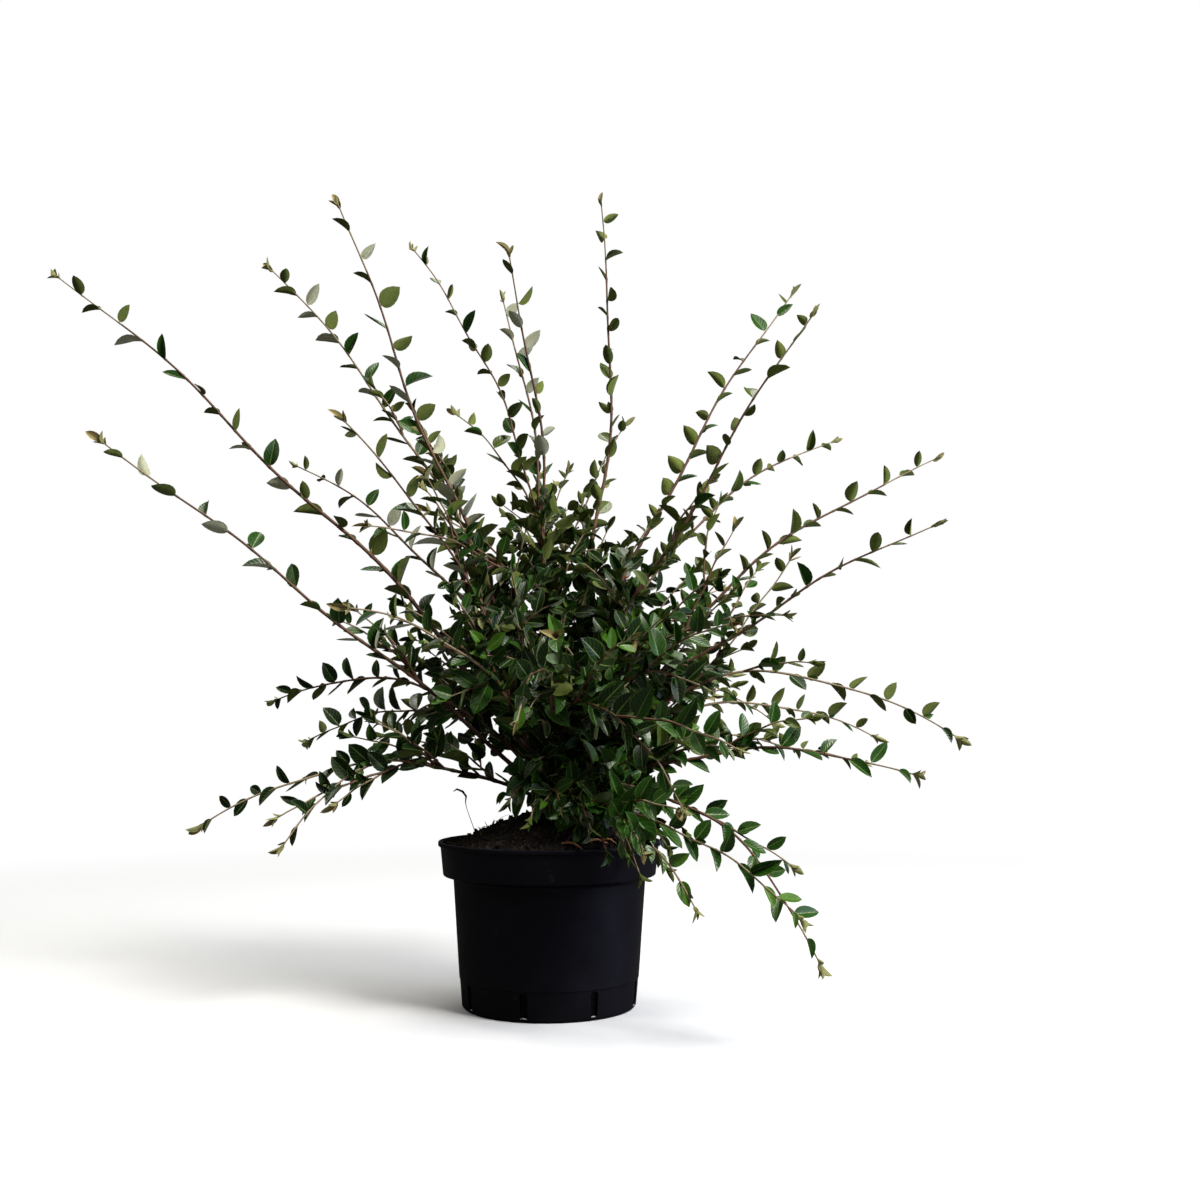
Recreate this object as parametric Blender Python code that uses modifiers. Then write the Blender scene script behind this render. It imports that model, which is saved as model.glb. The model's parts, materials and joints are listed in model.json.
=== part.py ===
"""Potted franchet cotoneaster: a young shrub in its nursery pot.

A short woody stem stands on the mounded compost. Slim boughs leave it all round and
each one carries a leafy shoot that arches outwards. The origin is the middle of the
pot's underside, +Z is up and -Y is the side that faces the viewer. Lengths are metres.
"""

import math
import random
from collections import namedtuple

import bmesh
import bpy
import numpy as np

MM = 0.001
NAME = "potted_franchet_cotoneaster"
SEED = 20

# Clear gap left between neighbouring solids
GAP = 0.3 * MM

# Pot: a three-litre nursery container
POT_HEIGHT = 138 * MM
LIP_RADIUS = 95 * MM
LIP_DEPTH = 3.5 * MM
EDGE_ROUND = 0.8 * MM
COLLAR_ROUND = 1.5 * MM
COLLAR_TOP_RADIUS = 93 * MM
COLLAR_FOOT_RADIUS = 90.5 * MM
COLLAR_DEPTH = 28 * MM
STEP_DROP = 2.5 * MM
BODY_TOP_RADIUS = 82 * MM
BODY_FOOT_RADIUS = 73.5 * MM
FOOT_ROUND = 1.5 * MM
WALL = 1.6 * MM
FLOOR = 2.0 * MM
RING_HEIGHT = 25 * MM
RING_STEP = 0.6 * MM
POT_STEPS = 40
SLOT_COUNT = 8
SLOT_WIDTH = 6.5 * MM
SLOT_TOP = 23.5 * MM
SLOT_FOOT = 3.0 * MM
SLOT_CUT = 8.0 * MM
SLOT_TURN = math.radians(-59)

# Compost: a plug that fills the pot and rises to a mound at the stem
MOUND_EDGE = 129 * MM
MOUND_TOP = 160 * MM
MOUND_FLAT = 13 * MM
MOUND_CURVE = 1.3
MOUND_STEPS = 7
COMPOST_STEPS = 24

# Stem: its foot, its tip and the flare where it meets the compost
STEM_HEIGHT = 60 * MM
STEM_FOOT_RADIUS = 6.0 * MM
STEM_TIP_RADIUS = 4.0 * MM
FLARE = 3.5 * MM
FLARE_HEIGHT = 5 * MM
STEM_LEAN = 2.5 * MM
STEM_RINGS = 10
STEM_RING_CURVE = 1.6

# Boughs and shoots: radius at the foot grows with the length, and all end fine
FOOT_RADIUS = 1.3 * MM
FOOT_RADIUS_PER_LENGTH = 0.002
TIP_RADIUS = 0.5 * MM
TAPER_CURVE = 0.8
SHOOT_BENDS = 10
FORK_BENDS = 4
TWIG_BENDS = 2
LEAST_BEND = 3 * MM

# Forks and twigs, three-sided. They start thinner than the stem that they leave, so that
# their root lies inside it. A corner stands this much further out than the radius
FORK_RADIUS = 0.55
TWIG_RADIUS = 0.6 * MM
TWIG_SIDES = 3
TWIG_CORNER = 1.4
ROOT_DEPTH = 0.3 * MM

# Leaves, fewer and larger than the real ones. Thickness, width and fold are shares of length
LEAF_LENGTH = 34 * MM
LEAF_SPREAD = 0.14
LEAF_SHRINK = 0.28
LEAF_WIDTH = 0.58
LEAF_THICKNESS = 0.035
LEAF_FOLD = 0.09
LEAF_BROADEST = 0.42
LEAF_FACES = ((0, 2, 4), (0, 4, 3), (1, 4, 2), (1, 3, 4), (0, 5, 2), (0, 3, 5), (1, 2, 5), (1, 5, 3))
LEAF_STEP = 39 * MM
LEAF_ANGLE = math.radians(48)
LEAF_ANGLE_SPREAD = math.radians(11)
LEAF_ROLL = math.radians(29)
LEAF_TWIST = math.radians(60)
LEAF_TRIES = 4
LEAF_ROOM = 0.40
FIRST_LEAF = 14 * MM
TIP_LEAF = 24 * MM
TIP_LEAF_GRIP = 2 * MM

# Side twigs stand on the inner part of each shoot
TWIG_STEP = 50 * MM
TWIG_REACH = 0.46
TWIG_LENGTH = (30 * MM, 55 * MM)
TWIG_ARCH = (0.02, 0.08)
TWIG_ANGLE = math.radians(52)
TWIG_ROLL = math.radians(52)
TWIG_LEAF_STEP = 22 * MM
TWIG_TRIES = 6
STEP_SPREAD = 0.15

# A twig or leaf stays this much nearer to its own shoot than to any other, and off the pot.
# Distances to a shoot are measured to points this far apart along it
SPACE = 2.4 * MM
POT_CLEARANCE = 4 * MM
FINE_STEP = 4 * MM
HEADING_REACH = 2 * MM

# Every shoot, clockwise from the low left. Azimuth is in degrees, 0 to the right, 90 away
# from the viewer and 180 to the left. Reach, height and foot are millimetres: how far the
# tip is from the stem, how high it is above the pot's underside, and where the bough leaves
# the stem above the compost. Arch is the bow's height as a share of the chord. Bare is the
# share that is bough, and each fork starts at a share of the shoot and has its own tip.
Fork = namedtuple("Fork", "share azimuth reach height arch")
Shoot = namedtuple("Shoot", "name azimuth reach height arch foot bare forks")
SHOOTS = (
    Shoot("left_low", 200, 292, 158, 0.145, 9, 0.25,
          (Fork(0.50, 211, 234, 144, 0.08), Fork(0.42, 205, 187, 173, 0.04))),
    Shoot("left_back_low", 160, 282, 260, 0.19, 15, 0.25, (Fork(0.32, 145, 299, 220, 0.07),)),
    Shoot("left_front", 199, 374, 462, 0.012, 17, 0.28, ()),
    Shoot("left_long", 178, 450, 642, 0.035, 33, 0.30, ()),
    Shoot("left_back_high", 152, 292, 492, 0.10, 37, 0.25, ()),
    Shoot("left_tall", 170, 268, 660, 0.066, 46, 0.28, ()),
    Shoot("left_top", 197, 190, 682, 0.003, 54, 0.30, ()),
    Shoot("left_front_high", 220, 209, 478, 0.07, 40, 0.28, ()),
    Shoot("left_arching", 230, 228, 326, 0.15, 22, 0.00, ()),
    Shoot("front_middle", 273, 250, 300, 0.10, 24, 0.20, (Fork(0.55, 267, 258, 238, 0.14),)),
    Shoot("front_drooping", 299, 234, 105, 0.12, 9, 0.22, (Fork(0.42, 313, 272, 100, 0.07),)),
    Shoot("front_right", 287, 230, 300, 0.10, 36, 0.20, (Fork(0.40, 297, 225, 177, 0.10),)),
    Shoot("right_drooping", 318, 275, 64, 0.19, 15, 0.22, (Fork(0.42, 334, 216, 126, 0.03),)),
    Shoot("right_front", 322, 240, 322, 0.17, 30, 0.22, (Fork(0.30, 310, 200, 260, 0.12),)),
    Shoot("right_low", 343, 313, 197, 0.105, 8, 0.25, ()),
    Shoot("right_front_tall", 338, 237, 575, 0.02, 48, 0.30, ()),
    Shoot("right_middle", 350, 330, 404, 0.045, 34, 0.26, ()),
    Shoot("right_arching", 355, 350, 226, 0.22, 19, 0.22, (Fork(0.38, 0, 210, 381, -0.02),)),
    Shoot("right_long", 8, 358, 482, 0.07, 28, 0.26, (Fork(0.38, 8, 165, 411, 0.02),)),
    Shoot("right_tall", 15, 232, 640, 0.035, 52, 0.30, ()),
    Shoot("right_back_high", 27, 310, 517, 0.12, 40, 0.26, ()),
    Shoot("right_back_low", 20, 325, 226, 0.17, 11, 0.25, (Fork(0.30, 30, 350, 197, 0.03),)),
    Shoot("back_right", 55, 300, 380, 0.08, 24, 0.22, (Fork(0.35, 42, 290, 240, 0.10),)),
    Shoot("back_low", 90, 320, 250, 0.14, 14, 0.22, (Fork(0.40, 72, 280, 200, 0.08),)),
    Shoot("back_high", 95, 240, 500, 0.06, 44, 0.25, (Fork(0.40, 70, 200, 540, 0.05),)),
    Shoot("back_left", 124, 320, 350, 0.08, 26, 0.22, (Fork(0.35, 133, 280, 200, 0.10),)),
    Shoot("centre_back", 134, 68, 632, 0.06, 56, 0.28,
          (Fork(0.42, 159, 140, 676, 0.06), Fork(0.38, 167, 88, 513, 0.10))),
    Shoot("centre_front", 250, 95, 628, 0.08, 56, 0.28, (Fork(0.30, 221, 184, 392, 0.08),)),
    Shoot("top", 40, 58, 720, -0.065, 60, 0.25, ()),
)


def clear_scene():
    for thing in list(bpy.data.objects):
        bpy.data.objects.remove(thing, do_unlink=True)


def linear(hex_colour):
    """The linear colour, with alpha, of an sRGB hex value."""
    parts = [int(hex_colour[i:i + 2], 16) / 255 for i in (1, 3, 5)]
    return [c / 12.92 if c <= 0.04045 else ((c + 0.055) / 1.055) ** 2.4 for c in parts] + [1.0]


def make_material(name, hex_colour, roughness):
    material = bpy.data.materials.new(name)
    material.use_nodes = True
    shader = material.node_tree.nodes["Principled BSDF"]
    shader.inputs["Base Color"].default_value = linear(hex_colour)
    shader.inputs["Roughness"].default_value = roughness
    shader.inputs["Metallic"].default_value = 0.0
    return material


def make_collection(name):
    collection = bpy.data.collections.new(name)
    bpy.context.scene.collection.children.link(collection)
    return collection


def add_object(name, data, collection, material=None):
    thing = bpy.data.objects.new(name, data)
    collection.objects.link(thing)
    if material:
        data.materials.append(material)
    return thing


def turned(name, profile, steps, collection, material):
    """A closed solid turned about Z from a profile that runs down its outer side."""
    mesh = bpy.data.meshes.new(name)
    edges = [(i, i + 1) for i in range(len(profile) - 1)]
    mesh.from_pydata([(r, 0.0, z) for r, z in profile], edges, [])
    thing = add_object(name, mesh, collection, material)
    screw = thing.modifiers.new("turn", "SCREW")
    screw.steps = steps
    screw.render_steps = steps
    screw.use_merge_vertices = True
    screw.merge_threshold = 0.01 * MM
    screw.use_smooth_shade = True
    return thing


def body_radius(z):
    """The pot wall's outer radius at a height on its body, above the ring line."""
    top = POT_HEIGHT - COLLAR_DEPTH - STEP_DROP
    return BODY_FOOT_RADIUS + (BODY_TOP_RADIUS - BODY_FOOT_RADIUS) * z / top


def mound_height(radius):
    """The compost's surface: flat under the stem, then falling to the pot's wall."""
    edge = COLLAR_TOP_RADIUS - WALL
    share = max(0.0, (radius - MOUND_FLAT) / (edge - MOUND_FLAT))
    return MOUND_TOP - (MOUND_TOP - MOUND_EDGE) * min(1.0, share) ** MOUND_CURVE


def make_pot(collection, cutters, material):
    collar_foot = POT_HEIGHT - COLLAR_DEPTH
    step_foot = collar_foot - STEP_DROP
    inner = [
        (0.0, FLOOR),
        (BODY_FOOT_RADIUS - WALL, FLOOR),
        (BODY_TOP_RADIUS - WALL, step_foot),
        (COLLAR_FOOT_RADIUS - WALL, collar_foot),
        (COLLAR_TOP_RADIUS - WALL, POT_HEIGHT - EDGE_ROUND),
        (COLLAR_TOP_RADIUS - WALL + EDGE_ROUND, POT_HEIGHT),
    ]
    outer = [
        (LIP_RADIUS - EDGE_ROUND, POT_HEIGHT),
        (LIP_RADIUS, POT_HEIGHT - EDGE_ROUND),
        (LIP_RADIUS, POT_HEIGHT - LIP_DEPTH),
        (COLLAR_TOP_RADIUS, POT_HEIGHT - LIP_DEPTH - EDGE_ROUND),
        (COLLAR_FOOT_RADIUS, collar_foot + COLLAR_ROUND),
        (COLLAR_FOOT_RADIUS - COLLAR_ROUND, collar_foot - EDGE_ROUND),
        (BODY_TOP_RADIUS + COLLAR_ROUND, step_foot),
        (BODY_TOP_RADIUS, step_foot - COLLAR_ROUND),
        (body_radius(RING_HEIGHT) + RING_STEP, RING_HEIGHT + EDGE_ROUND),
        (body_radius(RING_HEIGHT) + RING_STEP, RING_HEIGHT),
        (body_radius(RING_HEIGHT), RING_HEIGHT - EDGE_ROUND),
        (BODY_FOOT_RADIUS, FOOT_ROUND),
        (BODY_FOOT_RADIUS - FOOT_ROUND, 0.0),
        (0.0, 0.0),
    ]
    pot = turned("pot", inner + outer, POT_STEPS, collection, material)
    for i in range(SLOT_COUNT):
        angle = SLOT_TURN + i * math.tau / SLOT_COUNT
        bpy.ops.mesh.primitive_cube_add(size=1)
        cutter = bpy.context.object
        cutter.name = f"slot_cutter_{i + 1}"
        for owner in list(cutter.users_collection):
            owner.objects.unlink(cutter)
        cutters.objects.link(cutter)
        cutter.scale = (SLOT_CUT, SLOT_WIDTH, SLOT_TOP - SLOT_FOOT)
        cutter.rotation_euler = (0, 0, angle)
        height = (SLOT_TOP + SLOT_FOOT) / 2
        cutter.location = (BODY_FOOT_RADIUS * math.cos(angle), BODY_FOOT_RADIUS * math.sin(angle), height)
        cutter.hide_render = True
        cutter.display_type = "WIRE"
        cut = pot.modifiers.new(f"slot_{i + 1}", "BOOLEAN")
        cut.operation = "DIFFERENCE"
        cut.object = cutter
    return pot


def make_compost(collection, material):
    collar_foot = POT_HEIGHT - COLLAR_DEPTH
    edge_radius = COLLAR_TOP_RADIUS - WALL - GAP
    wall_radius = COLLAR_FOOT_RADIUS + (COLLAR_TOP_RADIUS - COLLAR_FOOT_RADIUS) * (
        (MOUND_EDGE - collar_foot) / COLLAR_DEPTH) - WALL - 2 * GAP
    profile = [(0.0, MOUND_TOP), (MOUND_FLAT, MOUND_TOP)]
    for i in range(1, MOUND_STEPS + 1):
        radius = MOUND_FLAT + (edge_radius - MOUND_FLAT) * i / MOUND_STEPS
        profile.append((min(radius, wall_radius), mound_height(radius)))
    profile += [
        (COLLAR_FOOT_RADIUS - WALL - 2 * GAP, collar_foot + GAP),
        (BODY_TOP_RADIUS - WALL - 2 * GAP, collar_foot - STEP_DROP),
        (BODY_FOOT_RADIUS - WALL - 2 * GAP, FLOOR + GAP),
        (0.0, FLOOR + GAP),
    ]
    return turned("compost", profile, COMPOST_STEPS, collection, material)


def stem_radius(above):
    share = above / STEM_HEIGHT
    taper = STEM_FOOT_RADIUS + (STEM_TIP_RADIUS - STEM_FOOT_RADIUS) * share
    return taper + FLARE * math.exp(-above / FLARE_HEIGHT)


def stem_centre(above):
    """The stem's middle line, upright at the foot and leaning a little above it."""
    share = above / STEM_HEIGHT
    return np.array([0.0, -STEM_LEAN * share * share, MOUND_TOP + GAP + above])


def tapered_curve(name, points, radii, collection, material, smoothness):
    """A round limb: a curve through the points with its own radius at each."""
    curve = bpy.data.curves.new(name, "CURVE")
    curve.dimensions = "3D"
    curve.bevel_depth = 1.0
    curve.bevel_resolution = smoothness
    curve.use_fill_caps = True
    line = curve.splines.new("POLY")
    line.points.add(len(points) - 1)
    for target, point, radius in zip(line.points, points, radii):
        target.co = (*point, 1.0)
        target.radius = radius
    line.use_smooth = True
    return add_object(name, curve, collection, material)


def make_stem(collection, material):
    heights = [STEM_HEIGHT * (i / (STEM_RINGS - 1)) ** STEM_RING_CURVE for i in range(STEM_RINGS)]
    points = [stem_centre(h) for h in heights]
    points[1][1] = points[0][1]
    return tapered_curve("stem", points, [stem_radius(h) for h in heights], collection, material, 3)


def outward(azimuth):
    angle = math.radians(azimuth)
    return np.array([math.cos(angle), math.sin(angle), 0.0])


def arc(foot, tip, arch, bends):
    """Points along a bow from foot to tip, whose height is arch times the chord."""
    chord = tip - foot
    length = np.linalg.norm(chord)
    up = np.array([0.0, 0.0, 1.0])
    rise = up - chord * (up @ chord) / length ** 2
    rise /= np.linalg.norm(rise)
    middle = (foot + tip) / 2 + rise * 2 * arch * length
    share = np.linspace(0.0, 1.0, bends + 1)[:, None]
    return (1 - share) ** 2 * foot + 2 * share * (1 - share) * middle + share ** 2 * tip


def lengths_along(line):
    return np.concatenate([[0.0], np.cumsum(np.linalg.norm(np.diff(line, axis=0), axis=1))])


def point_on(line, distance):
    """The point and direction at a distance along a line of points."""
    along = lengths_along(line)
    point = np.array([np.interp(distance, along, line[:, k]) for k in range(3)])
    ahead = np.array([np.interp(min(distance + HEADING_REACH, along[-1]), along, line[:, k]) for k in range(3)])
    behind = np.array([np.interp(max(distance - HEADING_REACH, 0.0), along, line[:, k]) for k in range(3)])
    heading = ahead - behind
    return point, heading / np.linalg.norm(heading)


def stretch(line, start, end):
    """The part of a line between two distances along it, and the distance of each point."""
    inner = [d for d in lengths_along(line) if start + LEAST_BEND < d < end - LEAST_BEND]
    distances = [start] + inner + [end]
    return np.array([point_on(line, d)[0] for d in distances]), distances


class Growth:
    """One shoot's lines: the bough, the leafy stem beyond it, and its forks.

    Each line runs on to the tip of the leaf at its end.
    """

    def __init__(self, shoot):
        self.name = shoot.name
        tip = outward(shoot.azimuth) * shoot.reach * MM
        tip[2] = shoot.height * MM
        above = shoot.foot * MM
        centre = stem_centre(above)
        rough_length = np.linalg.norm(tip - centre)
        self.radius = FOOT_RADIUS + FOOT_RADIUS_PER_LENGTH * rough_length
        rise = math.atan2(tip[2] - centre[2], shoot.reach * MM) + math.atan(4 * shoot.arch)
        if above < STEM_HEIGHT:
            clear = stem_radius(above) + GAP + self.radius * abs(math.sin(rise))
            foot = centre + outward(shoot.azimuth) * clear
        else:
            foot = centre + np.array([0.0, 0.0, GAP + self.radius * abs(math.cos(rise))])
        self.line = arc(foot, tip, shoot.arch, SHOOT_BENDS)
        self.length = lengths_along(self.line)[-1]
        self.bare = shoot.bare * self.length
        self.forks = []
        for fork in shoot.forks:
            start = fork.share * self.length
            end = outward(fork.azimuth) * fork.reach * MM
            end[2] = fork.height * MM
            fork_line = arc(point_on(self.line, start)[0], end, fork.arch, FORK_BENDS)
            self.forks.append((fork_line, self.radius_at(start) * FORK_RADIUS))

    def radius_at(self, distance):
        share = distance / self.length
        return self.radius + (TIP_RADIUS - self.radius) * share ** TAPER_CURVE

    def leafy_start(self):
        return self.bare + GAP if self.bare else 0.0


def fine_points(line):
    """Evenly spaced points along a line."""
    length = lengths_along(line)[-1]
    return np.array([point_on(line, d)[0] for d in np.arange(0.0, length, FINE_STEP)])


class Space:
    """Which shoot each place belongs to: the one whose lines are nearest."""

    def __init__(self, growths):
        points, owners = [], []
        for i, growth in enumerate(growths):
            for line in [growth.line] + [f[0] for f in growth.forks]:
                fine = fine_points(line)
                points.append(fine)
                owners += [i] * len(fine)
        self.points = np.concatenate(points)
        self.owners = np.array(owners)

    def holds(self, places, owner):
        """True where every place is nearer to its own lines than to all others, and off the pot."""
        gaps = np.linalg.norm(places[:, None] - self.points[None], axis=2)
        mine = self.owners == owner
        if np.any(gaps[:, mine].min(axis=1) + SPACE > gaps[:, ~mine].min(axis=1)):
            return False
        for x, y, z in places:
            radius = math.hypot(x, y)
            top = max(mound_height(radius), POT_HEIGHT)
            if radius < LIP_RADIUS + POT_CLEARANCE and z < top + POT_CLEARANCE:
                return False
        return True


def side_of(heading, roll):
    """A direction square to the heading, turned by roll from level."""
    level = np.cross(heading, [0.0, 0.0, 1.0])
    if np.linalg.norm(level) < 0.2:
        level = np.cross(heading, [0.0, 1.0, 0.0])
    level /= np.linalg.norm(level)
    lift = np.cross(level, heading)
    return level * math.cos(roll) + lift * math.sin(roll)


def loft(name, line, radii, collection):
    """A three-sided taper along a line, which a curve's round bevel can't make."""
    form = bmesh.new()
    rings = []
    for i, (point, radius) in enumerate(zip(line, radii)):
        heading = line[min(i + 1, len(line) - 1)] - line[max(i - 1, 0)]
        heading /= np.linalg.norm(heading)
        ring = []
        for k in range(TWIG_SIDES):
            turn = math.pi / 2 + k * math.tau / TWIG_SIDES
            corner = point + side_of(heading, turn) * radius * TWIG_CORNER
            ring.append(form.verts.new(corner))
        rings.append(ring)
    for low, high in zip(rings, rings[1:]):
        for k in range(TWIG_SIDES):
            n = (k + 1) % TWIG_SIDES
            form.faces.new((low[k], low[n], high[n], high[k]))
    form.faces.new(rings[0])
    form.faces.new(rings[-1])
    bmesh.ops.recalc_face_normals(form, faces=form.faces)
    mesh = bpy.data.meshes.new(name)
    form.to_mesh(mesh)
    form.free()
    return add_object(name, mesh, collection)


def leaf_points(root, along, normal, length):
    """A leaf's six corners: root, tip, both sides, and the fold above and below."""
    across = np.cross(normal, along)
    middle = root + along * length * LEAF_BROADEST
    half = across * length * LEAF_WIDTH / 2
    fold = normal * length * LEAF_FOLD
    thick = normal * length * LEAF_THICKNESS
    return np.array([root, root + along * length, middle - half, middle + half,
                     middle - fold + thick / 2, middle - fold - thick / 2])


def leaf_object(points, collection):
    mesh = bpy.data.meshes.new("leaf")
    mesh.from_pydata([tuple(p) for p in points], [], LEAF_FACES)
    form = bmesh.new()
    form.from_mesh(mesh)
    bmesh.ops.recalc_face_normals(form, faces=form.faces)
    form.to_mesh(mesh)
    form.free()
    return add_object("leaf", mesh, collection)


def leaves_along(line, start, end, step, owner, space, rng, taken):
    """The leaves of one line: two ranks, smaller towards the tip, and one at the end."""
    found = []
    distance = start
    side = rng.choice((-1, 1))
    roll = rng.uniform(-LEAF_ROLL, LEAF_ROLL)
    while distance < end - FIRST_LEAF / 2:
        point, heading = point_on(line, distance)
        size = LEAF_LENGTH * (1 - LEAF_SHRINK * (distance / end) ** 2)
        for _ in range(LEAF_TRIES):
            length = size * (1 + rng.uniform(-LEAF_SPREAD, LEAF_SPREAD))
            rank = side_of(heading, roll + rng.uniform(-LEAF_ROLL, LEAF_ROLL)) * side
            tilt = LEAF_ANGLE + rng.uniform(-LEAF_ANGLE_SPREAD, LEAF_ANGLE_SPREAD)
            along = heading * math.cos(tilt) + rank * math.sin(tilt)
            inner = heading * math.sin(tilt) - rank * math.cos(tilt)
            twist = rng.uniform(-LEAF_TWIST, LEAF_TWIST)
            face = inner * math.cos(twist) + np.cross(along, inner) * math.sin(twist)
            corners = leaf_points(point - along * ROOT_DEPTH, along, face, length)
            tested = np.concatenate([corners[1:], (corners[1:4] + corners[[2, 3, 1]]) / 2])
            centre = corners[4]
            crowded = any(np.linalg.norm(centre - other) < LEAF_ROOM * length for other in taken)
            if not crowded and space.holds(tested, owner):
                found.append(corners)
                taken.append(centre)
                break
        side = -side
        distance += step * rng.uniform(1 - STEP_SPREAD, 1 + STEP_SPREAD)
    point, heading = point_on(line, end - TIP_LEAF_GRIP)
    corners = leaf_points(point, heading, side_of(heading, math.pi / 2), TIP_LEAF)
    if space.holds(corners[1:], owner):
        found.append(corners)
    return found


def side_twigs(line, start, end, owner, space, rng):
    """Short twigs that leave a line on alternate sides, each inside the shoot's own space."""
    found = []
    distance = start
    side = rng.choice((-1, 1))
    while distance < end:
        point, heading = point_on(line, distance)
        for _ in range(TWIG_TRIES):
            rank = side_of(heading, rng.uniform(-TWIG_ROLL, TWIG_ROLL)) * side
            along = heading * math.cos(TWIG_ANGLE) + rank * math.sin(TWIG_ANGLE)
            tip = point + along * rng.uniform(*TWIG_LENGTH)
            twig = arc(point, tip, rng.uniform(*TWIG_ARCH), TWIG_BENDS)
            if space.holds(twig[1:], owner):
                found.append(twig)
                break
        side = -side
        distance += TWIG_STEP * rng.uniform(1 - STEP_SPREAD, 1 + STEP_SPREAD)
    return found


def fuse(name, base, others, collection, material):
    """Joins a collection of closed pieces to the base by one Boolean union."""
    union = base.modifiers.new("fuse", "BOOLEAN")
    union.operation = "UNION"
    union.operand_type = "COLLECTION"
    union.collection = others
    union.solver = "MANIFOLD"
    shapes = bpy.context.evaluated_depsgraph_get()
    mesh = bpy.data.meshes.new_from_object(base.evaluated_get(shapes))
    mesh.name = name
    for piece in list(others.objects) + [base]:
        used = piece.data
        bpy.data.objects.remove(piece, do_unlink=True)
        bpy.data.meshes.remove(used)
    bpy.data.collections.remove(others)
    mesh.materials.clear()
    return add_object(name, mesh, collection, material)


def keep_largest(thing):
    """Splits the faces into triangles and drops loose scraps, so that the mass is one body."""
    form = bmesh.new()
    form.from_mesh(thing.data)
    bmesh.ops.triangulate(form, faces=form.faces)
    left = set(form.verts)
    groups = []
    while left:
        group = {left.pop()}
        edge_of_group = list(group)
        while edge_of_group:
            vert = edge_of_group.pop()
            for link in vert.link_edges:
                other = link.other_vert(vert)
                if other in left:
                    left.remove(other)
                    group.add(other)
                    edge_of_group.append(other)
        groups.append(group)
    groups.sort(key=len)
    scraps = [vert for group in groups[:-1] for vert in group]
    bmesh.ops.delete(form, geom=scraps, context="VERTS")
    form.to_mesh(thing.data)
    form.free()


def make_mass(growth, owner, space, collection, material):
    """One shoot's leafy mass: its stem, forks, side twigs and leaves in one solid."""
    rng = random.Random(SEED + owner)
    pieces = make_collection("pieces")
    start = growth.leafy_start()
    end = growth.length - TIP_LEAF + TIP_LEAF_GRIP
    line, distances = stretch(growth.line, start, end)
    base = loft("base", line, [growth.radius_at(d) for d in distances], collection)
    taken = []
    leaves = leaves_along(growth.line, start + FIRST_LEAF, end, LEAF_STEP, owner, space, rng, taken)
    for fork_line, radius in growth.forks:
        fork_end = lengths_along(fork_line)[-1] - TIP_LEAF + TIP_LEAF_GRIP
        wood, _ = stretch(fork_line, 0.0, fork_end)
        loft("fork", wood, np.linspace(radius, TIP_RADIUS, len(wood)), pieces)
        leaves += leaves_along(fork_line, FIRST_LEAF, fork_end, LEAF_STEP, owner, space, rng, taken)
    reach = start + (growth.length - start) * TWIG_REACH
    for twig in side_twigs(growth.line, start + FIRST_LEAF, reach, owner, space, rng):
        length = lengths_along(twig)[-1]
        loft("twig", twig, np.linspace(TWIG_RADIUS, TIP_RADIUS, len(twig)), pieces)
        leaves += leaves_along(twig, FIRST_LEAF, length, TWIG_LEAF_STEP, owner, space, rng, taken)
    for corners in leaves:
        leaf_object(corners, pieces)
    mass = fuse(f"leaves_{growth.name}", base, pieces, collection, material)
    keep_largest(mass)


def make_bough(growth, collection, material):
    line, distances = stretch(growth.line, 0.0, growth.bare)
    radii = [growth.radius_at(d) for d in distances]
    return tapered_curve(f"bough_{growth.name}", line, radii, collection, material, 1)


def main():
    clear_scene()
    parts = make_collection(NAME)
    cutters = make_collection("cutters")
    pot_black = make_material("black_pot_plastic", "#17181b", 0.42)
    compost_brown = make_material("moist_compost", "#2a1d15", 0.95)
    bark = make_material("red_brown_bark", "#5a3a30", 0.75)
    leaf_green = make_material("cotoneaster_leaf", "#2c5523", 0.45)
    make_pot(parts, cutters, pot_black)
    make_compost(parts, compost_brown)
    make_stem(parts, bark)
    growths = [Growth(shoot) for shoot in SHOOTS]
    space = Space(growths)
    for owner, growth in enumerate(growths):
        if growth.bare:
            make_bough(growth, parts, bark)
        make_mass(growth, owner, space, parts, leaf_green)


main()
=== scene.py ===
"""Looks of a potted franchet cotoneaster: a young evergreen shrub in its nursery pot.

The solids give every shoot's line. Here the shoots grow on by the same rule into finer
twigs, with real leaves, downy tips, bark, crumbly compost and a moulded pot.
"""

import json
import math
import random
from collections import namedtuple

import bmesh
import bpy
import numpy as np
from mathutils import Matrix, Vector

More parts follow.
